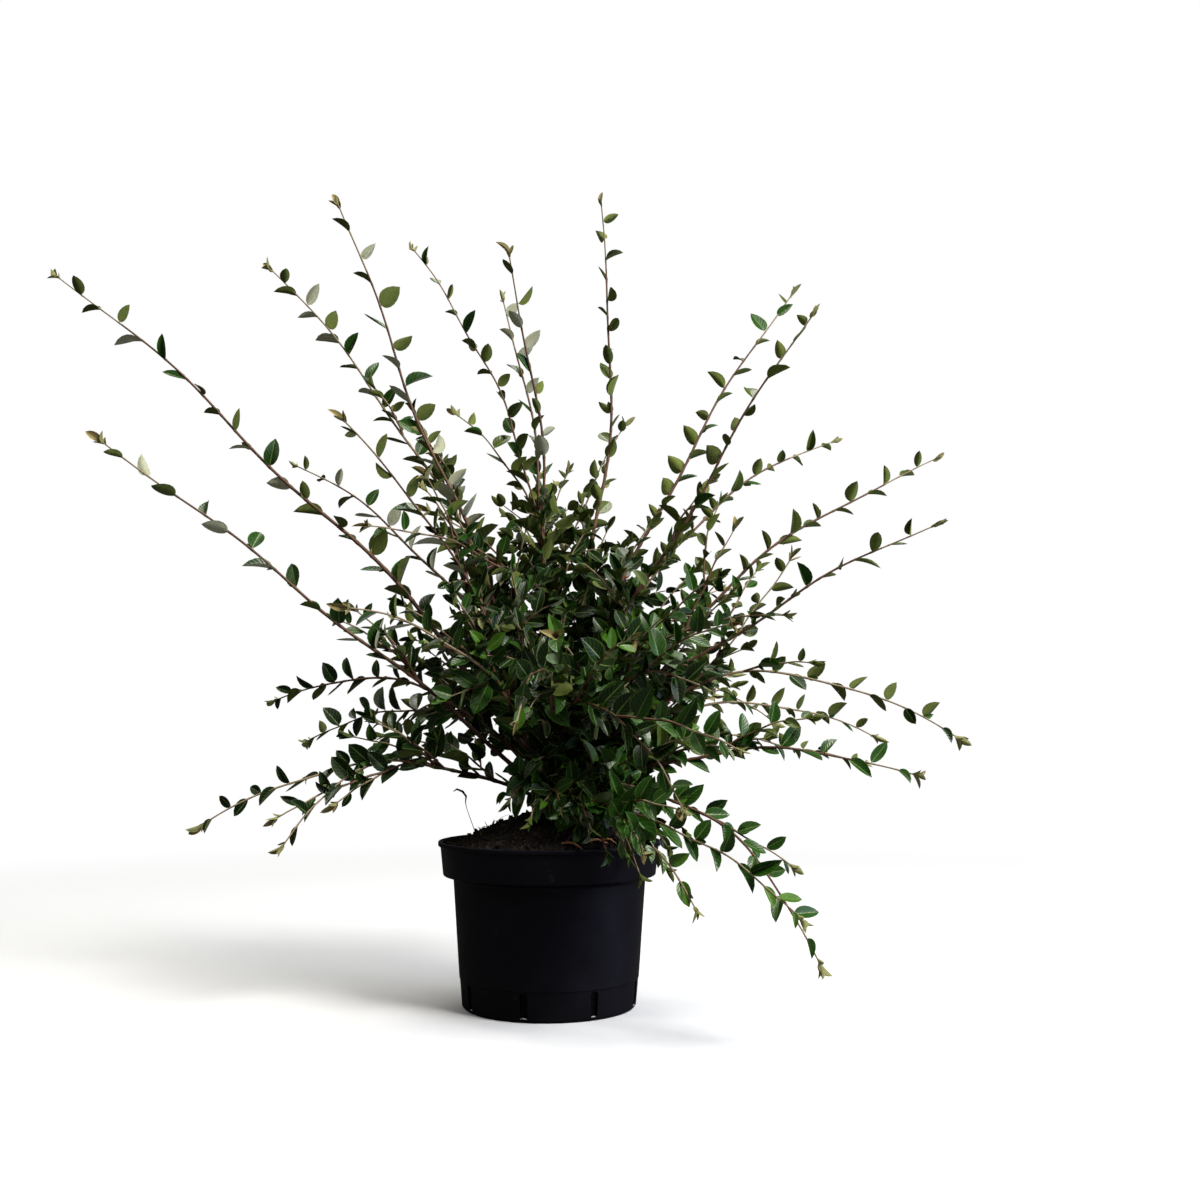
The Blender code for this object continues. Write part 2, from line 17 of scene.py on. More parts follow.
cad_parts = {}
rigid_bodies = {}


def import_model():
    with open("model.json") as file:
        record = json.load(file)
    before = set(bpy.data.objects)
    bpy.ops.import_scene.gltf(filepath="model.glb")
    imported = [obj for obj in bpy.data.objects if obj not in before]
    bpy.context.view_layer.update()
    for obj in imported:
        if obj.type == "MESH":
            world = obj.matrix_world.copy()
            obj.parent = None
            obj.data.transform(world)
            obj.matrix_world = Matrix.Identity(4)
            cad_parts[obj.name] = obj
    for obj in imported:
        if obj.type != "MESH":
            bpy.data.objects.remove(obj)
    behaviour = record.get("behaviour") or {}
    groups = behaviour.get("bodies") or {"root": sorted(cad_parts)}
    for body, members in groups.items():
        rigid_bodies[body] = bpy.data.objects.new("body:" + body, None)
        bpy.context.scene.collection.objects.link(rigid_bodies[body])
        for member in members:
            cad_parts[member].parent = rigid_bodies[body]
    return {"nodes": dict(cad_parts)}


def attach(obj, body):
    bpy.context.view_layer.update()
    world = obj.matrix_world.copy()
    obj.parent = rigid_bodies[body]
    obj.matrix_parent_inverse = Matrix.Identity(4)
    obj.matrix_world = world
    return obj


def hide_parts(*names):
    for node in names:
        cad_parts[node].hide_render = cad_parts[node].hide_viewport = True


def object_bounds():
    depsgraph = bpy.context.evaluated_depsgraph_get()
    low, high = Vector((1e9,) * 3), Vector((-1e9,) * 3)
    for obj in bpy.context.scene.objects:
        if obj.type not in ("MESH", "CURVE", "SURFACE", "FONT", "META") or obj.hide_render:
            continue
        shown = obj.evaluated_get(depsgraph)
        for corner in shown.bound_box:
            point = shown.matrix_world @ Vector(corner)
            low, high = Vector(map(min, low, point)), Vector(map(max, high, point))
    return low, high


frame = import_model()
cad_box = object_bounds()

MM = 0.001
SEED = 41

# Camera, fitted to the ellipses of the pot in the photograph
CAMERA_PLACE = (0.043, -1.17, 0.24)
CAMERA_PITCH = math.radians(5.1)
LENS_MM = 40.5
SENSOR_MM = 36.0

# Pot, with the sizes of the solid
POT_HEIGHT = 138 * MM
LIP_RADIUS = 95 * MM
LIP_DEPTH = 3.5 * MM
COLLAR_TOP_RADIUS = 93 * MM
COLLAR_FOOT_RADIUS = 90.5 * MM
COLLAR_DEPTH = 28 * MM
COLLAR_FOOT = POT_HEIGHT - COLLAR_DEPTH
STEP_FOOT = COLLAR_FOOT - 2.5 * MM
BODY_TOP_RADIUS = 82 * MM
BODY_FOOT_RADIUS = 73.5 * MM
WALL = 1.6 * MM
FLOOR = 2.0 * MM
RING_HEIGHT = 25 * MM
RING_STEP = 0.6 * MM
EDGE_ROUND = 0.8 * MM
FOOT_ROUND = 1.8 * MM
POT_STEPS = 160
SLOT_COUNT = 8
SLOT_WIDTH = 6.5 * MM
SLOT_CUT = 8 * MM
SLOT_TOP = 23.5 * MM
SLOT_FOOT = 3.0 * MM
SLOT_TURN = math.radians(-59)
SHARP_EDGE = math.radians(38)
GRIT_PER_SLOT = 4
GRIT_SIZE = (0.8 * MM, 1.9 * MM)
GRIT_SPREAD = 0.035

# Compost mound
MOUND_EDGE = 129 * MM
MOUND_TOP = 160 * MM
MOUND_FLAT = 13 * MM
MOUND_CURVE = 1.3
MOUND_RINGS = 46
MOUND_STEPS = 120

# Stem
GAP = 0.3 * MM
STEM_HEIGHT = 60 * MM
STEM_FOOT_RADIUS = 6.0 * MM
STEM_TIP_RADIUS = 4.0 * MM
FLARE = 3.5 * MM
FLARE_HEIGHT = 5 * MM
STEM_LEAN = 2.5 * MM

# Shoots: radius at the foot grows with the length, and all end fine
FOOT_RADIUS = 1.3 * MM
FOOT_RADIUS_PER_LENGTH = 0.002
TIP_RADIUS = 0.6 * MM
TIP_CUT = 5 * MM
FOOT_DEPTH = 0.5
TAPER_CURVE = 0.8
FORK_RADIUS = 0.7
POINT_STEP = 3 * MM
WAVE_SHARE = 0.008
NODE_SWELLING = 0.28
NODE_SPREAD = 1.8 * MM
OLD_SHARE = 0.30
YOUNG_SHARE = 0.88
YOUNG_SHARE_OF_PALE = 0.42
YOUNG_SHARE_OF_FORK = 0.8

# Leaves begin at this share of a shoot, and higher at the left, where bare stems show
BARE_SHARE = 0.10
BARE_SHARE_LEFT = 0.17

# Tints of the shoots: silver ones are upright, by least height and most reach, or stand high at the
# left, and their pale felt is partly painted light. Below the inner share of a shoot, and for some
# leaves above it, silver and olive give way to greener tints: silver turns to deep green as painted
# shade within the shade radius, to lighter olive as painted light on raised leaves right of a line,
# and to mid green elsewhere
UPRIGHT = (600, 200)
SILVER_AZIMUTHS = (150, 235)
SILVER_ABOVE = 300
INNER_SHARE = 0.4
SILVER_LEAVES = 0.5
OLIVE_LEAVES = 0.85
FINE_SIZE = 0.76
SMALL_SIZE = 0.84
FRESH_FROM = 0.74
PAINTED_SHADE_RADIUS = 150 * MM
PAINTED_LIGHT_LEAVES_FROM = -110 * MM
# Branches whose tips reach right of this line take lighter olive and mid tints: painted light
PAINTED_LIGHT_BRANCHES_FROM = 90 * MM

# More branches on the bushy shoots
BUSHY_REACH = (240 * MM, 350 * MM)
BUSHY_LENGTH = (45 * MM, 95 * MM)
# Where the photograph shows sky: from x, to x, and from height, to height of each opening
OPENINGS = ((-150 * MM, -40 * MM, 0.0, 205 * MM), (115 * MM, 235 * MM, 0.0, 212 * MM),
            (-170 * MM, -95 * MM, 335 * MM, 400 * MM))

# Branches grow on from the shoots inside the crown and spread like them
CROWN_MIDDLE = (0.004, 0.0, 0.262)
BRANCHES = 3
BRANCH_START = (0.10, 0.58)
BRANCH_LENGTH = (55 * MM, 150 * MM)
BRANCH_ANGLE = (math.radians(8), math.radians(30))
BRANCH_ARCH = (0.02, 0.10)
BRANCH_RADIUS = 1.0 * MM
BRANCH_REACH = (110 * MM, 300 * MM)
BRANCH_YOUNG = 0.55
BRANCH_CLEARANCE = 4 * MM
LEAST_DROOP = -0.2
SPRAY_ARCH = (0.12, 0.2)
SPRAY_YOUNG = 0.95
SPRAY_FOOT = (8, 22)

# Low sprays in front of the stem hide its foot: azimuth, reach and height of each tip
LOW_SPRAYS = ((248, 80, 176), (263, 96, 162), (277, 100, 168), (290, 106, 154), (302, 122, 134),
              (304, 104, 166), (318, 130, 140), (330, 128, 152), (310, 116, 118), (322, 122, 122),
              (298, 104, 136), (20, 80, 196), (60, 90, 190), (110, 85, 188), (35, 95, 168),
              (75, 96, 172), (350, 92, 172), (285, 84, 178))

# Short side twigs fill the very middle: their chance falls to none at the dense radius
DENSE_RADIUS = 116 * MM
TWIG_CHANCE = 0.88
TWIG_FADE = 2.2
UPWARD_FADE = 0.72
TWIG_STEP = 11 * MM
TWIG_STEP_SPREAD = (0.7, 1.3)
TWIG_ROLL = 1.5
TWIG_LENGTH = (22 * MM, 50 * MM)
TWIG_LENGTH_SHARE = 1.1
TWIG_LENGTH_FADE = 0.35
TWIG_ANGLE = (math.radians(36), math.radians(66))
TWIG_RADIUS = 0.75 * MM
TWIG_TIP_RADIUS = 0.45 * MM
TWIG_ARCH = (-0.02, 0.12)
TWIG_YOUNG = 0.6
TWIG_CLEARANCE = 5 * MM
TWIG_TINTS = ("deep", "deep", "deep", "mid", "mid", "fresh")
INNER_TWIG_TINTS = ("deep", "deep", "deep", "mid")
FRESH_TWIG_TIPS = 0.30
FRONT_DEPTH = -30 * MM
FRONT_TOP = 330 * MM
# Side twigs start this far from the foot of a branch or fork, and end this far from each tip
BRANCH_TWIGS = (18 * MM, 20 * MM)
FORK_TWIGS = (15 * MM, 30 * MM)
SHOOT_TWIG_END = 40 * MM

# Leaves: distance between two neighbours, and length with the stalk
INNER_LEAF_STEP = 11.5 * MM
OUTER_LEAF_STEP = 24 * MM
RIGHT_LEAF_STEP = 18 * MM
# Leaves stand wide apart from this share of a shoot: on open shoots, on the rest, and on branches
WIDE_FROM_OPEN = 0.55
WIDE_FROM = 0.95
WIDE_FROM_BRANCH = 1.6
TWIG_LEAF_STEP = 11.5 * MM
STEP_SPREAD = (0.8, 1.2)
# Leaves start this far from the foot of a branch, fork or side twig, and stop this far from a tip
BRANCH_LEAF_START = 14 * MM
FORK_LEAF_START = 10 * MM
TWIG_LEAF_START = 6 * MM
LEAF_STOP = 6 * MM
LEAF_LENGTH = 23 * MM
INNER_LEAF_GROWTH = 0.28
TWIG_LEAF_FADE = 0.35
LEAF_SPREAD = 0.24
LEAF_BREADTH = (0.74, 1.15)
# Leaves inside the crown grow smaller between these heights, by this share
SHRINK_HEIGHT = (0.22, 0.34)
UPPER_SHRINK = 0.20
# The last leaves of a shoot: the smallest, and how they grow with their distance from its end
LAST_LEAF = 10 * MM
LAST_LEAF_GROWTH = 0.35
POT_CLEARANCE = 2.5 * MM
ROOT_DEPTH = 0.2 * MM
# A leaf is made of sections. Its outline is round at the base and pointed at the tip
LEAF_SECTIONS = (0.0, 0.07, 0.11, 0.19, 0.32, 0.48, 0.66, 0.84, 1.0)
STALK_SHARE = 0.07
STALK_HALF_WIDTH = 0.018
LEAF_HALF_WIDTH = 0.29
LEAF_BASE_CURVE = 0.55
LEAF_TIP_CURVE = 0.78
LEAF_WIDEST = 0.406
WING_SHARE = 0.55
MIDRIB_HALF_WIDTH = 0.018
LEAF_THICKNESS = 0.014
QUILTING = 0.008
VEIN_PAIRS = 7
VEIN_SLANT = 0.30
TUFT_LEAVES = 4
TUFT_LEAF = (11 * MM, 18 * MM)
TUFT_BREADTH = 0.68
TUFT_TURN = math.tau * 0.38
TUFT_TURN_SPREAD = 0.3
TUFT_STEP = 1.2 * MM
TUFT_SHRINK = 0.12
TUFT_OPENED = (0.15, 0.75)
BUD_OPENED = (0.02, 0.30)
# Tips closer to the middle of the crown than this have no pale down, and not all others have
DOWNY_FROM = 190 * MM
DOWNY_TIPS = 0.6
LEAVES_PER_PIECE = 1300
BOX_MARGIN = 8 * MM
# A small leaf in the axil of another: its size, and its chance at the foot and less at the tip
BUD_LEAF = (6 * MM, 12 * MM)
BUD_CHANCE = 0.75
BUD_FADE = 0.7
BUD_ANGLE = (0.2, 0.9)
# The pair at the end of a side twig: their share of a leaf's length, and their angle
END_LEAF = (0.45, 0.75)
END_LEAF_ANGLE = (0.1, 0.6)
DEAD_SHARE = 0.004
DEAD_LEAF = 11 * MM

# How far a leaf stands off its stem: the one above a shoot, the one below it, and one on a side twig
RAISED_ANGLE = (math.radians(48), math.radians(80))
LYING_ANGLE = (math.radians(18), math.radians(44))
TWIG_LEAF_ANGLE = (math.radians(35), math.radians(72))

# Leaves turn to the light: outwards low down, and to the back above this height, but for some
BACK_LIGHT_HEIGHT = (0.34, 0.44)
BACK_LIGHT_DEPTH = 150 * MM
TURNED_AWAY = 0.28
DEPTH_LIGHT = 0.9
UP_LIGHT = 0.35
OUTWARD_LIGHT = 0.35
LYING_LIGHT = 0.9
FACE_SPREAD = 0.36
TWIG_FACE_SPREAD = 0.7
ROLL_SPREAD = 0.35
ROLL_DRIFT = 0.1
TWIG_ROLL_SPREAD = 0.4
TWIG_ROLL_DRIFT = 0.2

# How each cut of leaf is folded, how far it bends back and how it turns, in degrees and shares
LEAF_CUTS = ((18, 0.02, -10), (28, 0.10, 14), (36, 0.16, -18), (24, 0.22, 20), (46, 0.06, 8),
             (14, -0.05, 14))

# Every shoot, as in the solids: degrees and millimetres. Looks: olive, pale bark, fine leaves that
# show their backs, small leaves, a fresh tip, leaves set open, few branches. Bushy: how many more
# branches, and between which shares of the shoot. Bare: where its leaves begin. Step: between leaves
Fork = namedtuple("Fork", "share azimuth reach height arch")
Shoot = namedtuple("Shoot", "name azimuth reach height arch foot looks bushy bare step forks",
                   defaults=("", None, 0.0, 0, ()))
SHOOTS = (
    Shoot("left_low", 200, 292, 158, 0.145, 9, "pale fine", (6, 0.10, 0.36), step=14,
          forks=(Fork(0.50, 211, 234, 144, 0.08), Fork(0.42, 205, 187, 173, 0.04))),
    Shoot("left_back_low", 160, 282, 260, 0.19, 15, "", (4, 0.22, 0.60), step=12,
          forks=(Fork(0.32, 145, 299, 220, 0.07),)),
    Shoot("left_front", 199, 374, 462, 0.012, 17, "open", (3, 0.30, 0.45), 0.34),
    Shoot("left_long", 178, 450, 642, 0.035, 33, "open", None, 0.26),
    Shoot("left_back_high", 152, 292, 492, 0.10, 37),
    Shoot("left_tall", 170, 268, 660, 0.066, 46, "pale", (11, 0.42, 0.75), step=18),
    Shoot("left_top", 197, 190, 682, 0.003, 54),
    Shoot("left_front_high", 220, 209, 478, 0.07, 40, "", (3, 0.30, 0.60)),
    Shoot("left_arching", 230, 228, 326, 0.15, 22, "pale", (5, 0.30, 0.75)),
    Shoot("front_middle", 273, 250, 300, 0.10, 24, "fresh", forks=(Fork(0.55, 267, 258, 238, 0.14),)),
    Shoot("front_drooping", 299, 234, 105, 0.12, 9, "pale fresh", forks=(Fork(0.42, 313, 272, 100, 0.07),)),
    Shoot("front_right", 287, 230, 300, 0.10, 36, "fresh", forks=(Fork(0.40, 297, 225, 177, 0.10),)),
    Shoot("right_drooping", 318, 275, 64, 0.19, 15, "small open few",
          forks=(Fork(0.42, 334, 216, 126, 0.03),)),
    Shoot("right_front", 322, 240, 322, 0.17, 30, forks=(Fork(0.30, 310, 200, 260, 0.12),)),
    Shoot("right_low", 343, 313, 197, 0.105, 8, "open", (4, 0.22, 0.50)),
    Shoot("right_front_tall", 338, 237, 575, 0.02, 48, "olive small", (3, 0.22, 0.38)),
    Shoot("right_middle", 350, 330, 404, 0.045, 34, "olive small"),
    Shoot("right_arching", 355, 350, 226, 0.22, 19, "pale fine open", (3, 0.20, 0.42),
          forks=(Fork(0.38, 0, 210, 381, -0.02),)),
    Shoot("right_long", 8, 358, 482, 0.07, 28, "olive small", forks=(Fork(0.38, 8, 165, 411, 0.02),)),
    Shoot("right_tall", 15, 232, 640, 0.035, 52, "olive small", (3, 0.20, 0.34)),
    Shoot("right_back_high", 27, 310, 517, 0.12, 40, "olive small"),
    Shoot("right_back_low", 20, 325, 226, 0.17, 11, "pale fine", (4, 0.18, 0.42),
          forks=(Fork(0.30, 30, 350, 197, 0.03),)),
    Shoot("back_right", 55, 300, 380, 0.08, 24, "small", forks=(Fork(0.35, 42, 290, 240, 0.10),)),
    Shoot("back_low", 90, 320, 250, 0.14, 14, forks=(Fork(0.40, 72, 280, 200, 0.08),)),
    Shoot("back_high", 95, 240, 500, 0.06, 44, "small", (3, 0.42, 0.80),
          forks=(Fork(0.40, 70, 200, 540, 0.05),)),
    Shoot("back_left", 124, 320, 350, 0.08, 26, "", (3, 0.30, 0.60),
          forks=(Fork(0.35, 133, 280, 200, 0.10),)),
    Shoot("centre_back", 134, 68, 632, 0.06, 56, "small",
          forks=(Fork(0.42, 159, 140, 676, 0.06), Fork(0.38, 167, 88, 513, 0.10))),
    Shoot("centre_front", 250, 95, 628, 0.08, 56, "small", (1, 0.26, 0.40),
          forks=(Fork(0.30, 221, 184, 392, 0.08),)),
    Shoot("top", 40, 58, 720, -0.065, 60, "olive small", (3, 0.22, 0.36)),
)

Leaf = namedtuple("Leaf", "root along face length breadth cut tint")
# How leaves stand on a shoot: their tint, where they start to stand wide, how wide, their size,
# whether they turn their backs to the viewer, and from which share of the shoot on they are fresh
Habit = namedtuple("Habit", "tint wide_from step size away fresh_from")


# Nodes and materials

def linear(hex_colour):
    """The linear colour, with alpha, of an sRGB hex value."""
    parts = [int(hex_colour[i:i + 2], 16) / 255 for i in (1, 3, 5)]
    return [c / 12.92 if c <= 0.04045 else ((c + 0.055) / 1.055) ** 2.4 for c in parts] + [1.0]


def add_node(tree, kind, inputs=None, **settings):
    """Adds a node. Each input, named or numbered, takes a value, a hex colour, a socket to link from,
    or a node's first output."""
    node = tree.nodes.new(kind)
    for name, value in settings.items():
        setattr(node, name, value)
    for name, value in (inputs or {}).items():
        if isinstance(name, int):
            target = node.inputs[name]
        else:
            target = next(s for s in node.inputs if s.name == name and s.enabled)
        if isinstance(value, bpy.types.Node):
            value = next(s for s in value.outputs if s.enabled)
        if isinstance(value, bpy.types.NodeSocket):
            tree.links.new(value, target)
        elif isinstance(value, str) and value.startswith("#"):
            target.default_value = linear(value)
        else:
            target.default_value = value
    return node


def new_material(name):
    """An empty node material, its tree and its Object coordinates."""
    material = bpy.data.materials.new(name)
    material.use_nodes = True
    tree = material.node_tree
    tree.nodes.clear()
    return material, tree, add_node(tree, "ShaderNodeTexCoord").outputs["Object"]


def set_surface(tree, inputs):
    shader = add_node(tree, "ShaderNodeBsdfPrincipled", inputs)
    add_node(tree, "ShaderNodeOutputMaterial", {"Surface": shader})


def pot_plastic():
    """Moulded polypropylene, near black: satin, with a fine grain, and dust that dulls the foot."""
    material, tree, place = new_material("moulded_black_polypropylene")
    cloud = add_node(tree, "ShaderNodeTexNoise", {"Vector": place, "Scale": 1 / (35 * MM), "Detail": 5.0})
    grain = add_node(tree, "ShaderNodeTexNoise", {"Vector": place, "Scale": 1 / (0.8 * MM), "Detail": 2.0})
    rubbed = add_node(tree, "ShaderNodeTexNoise", {"Vector": place, "Scale": 1 / (11 * MM), "Detail": 8.0})
    drawn_out = add_node(tree, "ShaderNodeMapping", {"Vector": place, "Scale": (1.0, 1.0, 0.08)})
    streaks = add_node(tree, "ShaderNodeTexNoise",
                       {"Vector": drawn_out, "Scale": 1 / (3 * MM), "Detail": 3.0})
    height = add_node(tree, "ShaderNodeSeparateXYZ", {"Vector": place}).outputs["Z"]
    low = add_node(tree, "ShaderNodeMapRange",
                   {"Value": height, "From Min": 0.0, "From Max": 60 * MM, "To Min": 0.3, "To Max": 0.0})
    dust = add_node(tree, "ShaderNodeMath", {0: low, 1: streaks}, operation="MULTIPLY")
    plastic = add_node(tree, "ShaderNodeMix", {"Factor": cloud, "A": "#050409", "B": "#0f0f1a"},
                       data_type="RGBA")
    dusted = add_node(tree, "ShaderNodeMix", {"Factor": dust, "A": plastic, "B": "#24231f"},
                      data_type="RGBA")
    scuff = add_node(tree, "ShaderNodeMapRange",
                     {"Value": rubbed, "From Min": 0.69, "From Max": 0.80, "To Max": 0.5})
    colour = add_node(tree, "ShaderNodeMix", {"Factor": scuff, "A": dusted, "B": "#34353a"},
                      data_type="RGBA")
    roughness = add_node(tree, "ShaderNodeMapRange", {"Value": cloud, "From Min": 0.3, "From Max": 0.7,
                                                      "To Min": 0.34, "To Max": 0.50})
    bump = add_node(tree, "ShaderNodeBump", {"Height": grain, "Strength": 0.25, "Distance": 0.1 * MM})
    set_surface(tree, {"Base Color": colour, "Roughness": roughness, "IOR": 1.49,
                       "Specular IOR Level": 0.2, "Normal": bump})
    return material


def compost_soil():
    """Moist peat and fine bark: almost black where wet, brown where it dries, with no gloss."""
    material, tree, place = new_material("moist_peat_compost")
    crumbs = add_node(tree, "ShaderNodeTexVoronoi", {"Vector": place, "Scale": 1 / (2.6 * MM)})
    damp = add_node(tree, "ShaderNodeTexNoise", {"Vector": place, "Scale": 1 / (14 * MM), "Detail": 6.0})
    brown = add_node(tree, "ShaderNodeMix", {"Factor": crumbs, "A": "#070403", "B": "#190f0a"},
                     data_type="RGBA")
    colour = add_node(tree, "ShaderNodeMix", {"Factor": damp, "A": "#040302", "B": brown}, data_type="RGBA")
    bump = add_node(tree, "ShaderNodeBump", {"Height": crumbs, "Strength": 0.8, "Distance": 1.2 * MM})
    set_surface(tree, {"Base Color": colour, "Roughness": 0.92, "IOR": 1.4, "Normal": bump})
    return material


def fibrous(name, dark, light, fibre, roughness):
    """Dry plant stuff such as a bark chip or straw: two close browns in streaks, matt."""
    material, tree, place = new_material(name)
    fibres = add_node(tree, "ShaderNodeTexNoise", {"Vector": place, "Scale": 1 / fibre, "Detail": 4.0})
    colour = add_node(tree, "ShaderNodeMix", {"Factor": fibres, "A": dark, "B": light}, data_type="RGBA")
    bump = add_node(tree, "ShaderNodeBump", {"Height": fibres, "Strength": 0.5, "Distance": 0.3 * MM})
    set_surface(tree, {"Base Color": colour, "Roughness": roughness, "Normal": bump})
    return material


def bark(name, dark, light, down):
    """Young cotoneaster bark: smooth with pale pores when old, felted with pale down when new."""
    material, tree, place = new_material(name)
    mottle = add_node(tree, "ShaderNodeTexNoise", {"Vector": place, "Scale": 1 / (5 * MM), "Detail": 5.0})
    pores = add_node(tree, "ShaderNodeTexVoronoi", {"Vector": place, "Scale": 1 / (2.2 * MM)})
    pore = add_node(tree, "ShaderNodeMapRange",
                    {"Value": pores, "From Min": 0.0, "From Max": 0.22, "To Min": 0.45, "To Max": 0.0})
    skin = add_node(tree, "ShaderNodeMix", {"Factor": mottle, "A": dark, "B": light}, data_type="RGBA")
    colour = add_node(tree, "ShaderNodeMix", {"Factor": pore, "A": skin, "B": "#9b8265"}, data_type="RGBA")
    bump = add_node(tree, "ShaderNodeBump", {"Height": mottle, "Strength": 0.4, "Distance": 0.2 * MM})
    set_surface(tree, {"Base Color": colour, "Roughness": 0.62, "Sheen Weight": down,
                       "Sheen Roughness": 0.6, "Normal": bump})
    return material


def leaf_veins(tree):
    """Where the side veins and the margin run on a leaf, and how the blade swells between them."""
    drawn = add_node(tree, "ShaderNodeUVMap", uv_map="leaf")
    spot = add_node(tree, "ShaderNodeSeparateXYZ", {"Vector": drawn}).outputs
    centred = add_node(tree, "ShaderNodeMath", {0: spot["Y"], 1: 0.5}, operation="SUBTRACT")
    across = add_node(tree, "ShaderNodeMath", {0: centred}, operation="ABSOLUTE")
    slant = add_node(tree, "ShaderNodeMath", {0: across, 1: 2 * VEIN_SLANT}, operation="MULTIPLY")
    along = add_node(tree, "ShaderNodeMath", {0: spot["X"], 1: slant}, operation="SUBTRACT")
    count = add_node(tree, "ShaderNodeMath", {0: along, 1: VEIN_PAIRS}, operation="MULTIPLY")
    swell = add_node(tree, "ShaderNodeMath", {0: count, 1: 0.5}, operation="PINGPONG")
    side_vein = add_node(tree, "ShaderNodeMapRange",
                         {"Value": swell, "From Min": 0.02, "From Max": 0.09, "To Min": 0.5, "To Max": 0.0})
    margin = add_node(tree, "ShaderNodeMapRange", {"Value": across, "From Min": 0.445, "From Max": 0.48})
    return add_node(tree, "ShaderNodeMath", {0: side_vein, 1: margin}, operation="MAXIMUM"), swell


def leaf_upper(name, dark, light):
    """A leaf's waxy upper side: smooth cuticle, a soft gloss, and a slight pucker between veins."""
    material, tree, place = new_material(name)
    mottle = add_node(tree, "ShaderNodeTexNoise", {"Vector": place, "Scale": 1 / (9 * MM), "Detail": 3.0})
    vein, swell = leaf_veins(tree)
    green = add_node(tree, "ShaderNodeMix", {"Factor": mottle, "A": dark, "B": light}, data_type="RGBA")
    faint = add_node(tree, "ShaderNodeMath", {0: vein, 1: 0.5}, operation="MULTIPLY")
    colour = add_node(tree, "ShaderNodeMix", {"Factor": faint, "A": green, "B": "#6c9042"},
                      data_type="RGBA")
    roughness = add_node(tree, "ShaderNodeMapRange", {"Value": mottle, "From Min": 0.3, "From Max": 0.7,
                                                      "To Min": 0.28, "To Max": 0.42})
    bump = add_node(tree, "ShaderNodeBump", {"Height": swell, "Strength": 0.6, "Distance": 0.3 * MM})
    set_surface(tree, {"Base Color": colour, "Roughness": roughness, "IOR": 1.45,
                       "Specular IOR Level": 0.44, "Normal": bump})
    return material


def leaf_felt(name, dark, light):
    """A leaf's underside: matt, covered with pale felted hair over the veins."""
    material, tree, place = new_material(name)
    hair = add_node(tree, "ShaderNodeTexNoise", {"Vector": place, "Scale": 1 / (4 * MM), "Detail": 2.0})
    vein = leaf_veins(tree)[0]
    felt = add_node(tree, "ShaderNodeMix", {"Factor": hair, "A": dark, "B": light}, data_type="RGBA")
    faint = add_node(tree, "ShaderNodeMath", {0: vein, 1: 0.8}, operation="MULTIPLY")
    colour = add_node(tree, "ShaderNodeMix", {"Factor": faint, "A": felt, "B": light}, data_type="RGBA")
    bump = add_node(tree, "ShaderNodeBump", {"Height": vein, "Strength": 0.5, "Distance": 0.3 * MM})
    set_surface(tree, {"Base Color": colour, "Roughness": 0.8, "Specular IOR Level": 0.3,
                       "Sheen Weight": 0.08, "Sheen Roughness": 0.5, "Normal": bump})
    return material


# Geometry trees

def new_object(name, mesh):
    thing = bpy.data.objects.new(name, mesh)
    bpy.context.collection.objects.link(thing)
    return thing


def mesh_of(form, name):
    """The mesh of a finished form."""
    mesh = bpy.data.meshes.new(name)
    form.to_mesh(mesh)
    form.free()
    return mesh


def new_tree(name, **inputs):
    """An empty geometry tree with named inputs, and the sockets of its input node."""
    tree = bpy.data.node_groups.new(name, "GeometryNodeTree")
    tree.interface.new_socket("Geometry", in_out="INPUT", socket_type="NodeSocketGeometry")
    for label, kind in inputs.items():
        tree.interface.new_socket(label, in_out="INPUT", socket_type=f"NodeSocket{kind}")
    tree.interface.new_socket("Geometry", in_out="OUTPUT", socket_type="NodeSocketGeometry")
    return tree, tree.nodes.new("NodeGroupInput").outputs


def relief(tree, size, height, level, detail, roughness):
    """A push along the normal by noise of a size and height, where the level stays in place."""
    scale = add_node(tree, "ShaderNodeMath", {0: 1.0, 1: size}, operation="DIVIDE")
    ridges = add_node(tree, "ShaderNodeTexNoise",
                      {"Scale": scale, "Detail": detail, "Roughness": roughness})
    raised = add_node(tree, "ShaderNodeMath", {0: ridges, 1: level}, operation="SUBTRACT")
    depth = add_node(tree, "ShaderNodeMath", {0: raised, 1: height}, operation="MULTIPLY")
    normal = add_node(tree, "GeometryNodeInputNormal")
    return add_node(tree, "ShaderNodeVectorMath", {"Vector": normal, "Scale": depth}, operation="SCALE")


def made_by(tree, name, mesh, values):
    """The plain mesh object that a geometry tree makes from a starting mesh."""
    source = new_object(f"{name}_start", mesh)
    modifier = source.modifiers.new("grow", "NODES")
    modifier.node_group = tree
    for item in tree.interface.items_tree:
        if item.in_out == "INPUT" and item.name in values:
            modifier[item.identifier] = values[item.name]
    shapes = bpy.context.evaluated_depsgraph_get()
    result = bpy.data.meshes.new_from_object(source.evaluated_get(shapes))
    result.name = name
    for helper in ("turn", "size", "cut", "thickness"):
        if helper in result.attributes:
            result.attributes.remove(result.attributes[helper])
    bpy.data.objects.remove(source)
    return new_object(name, result)


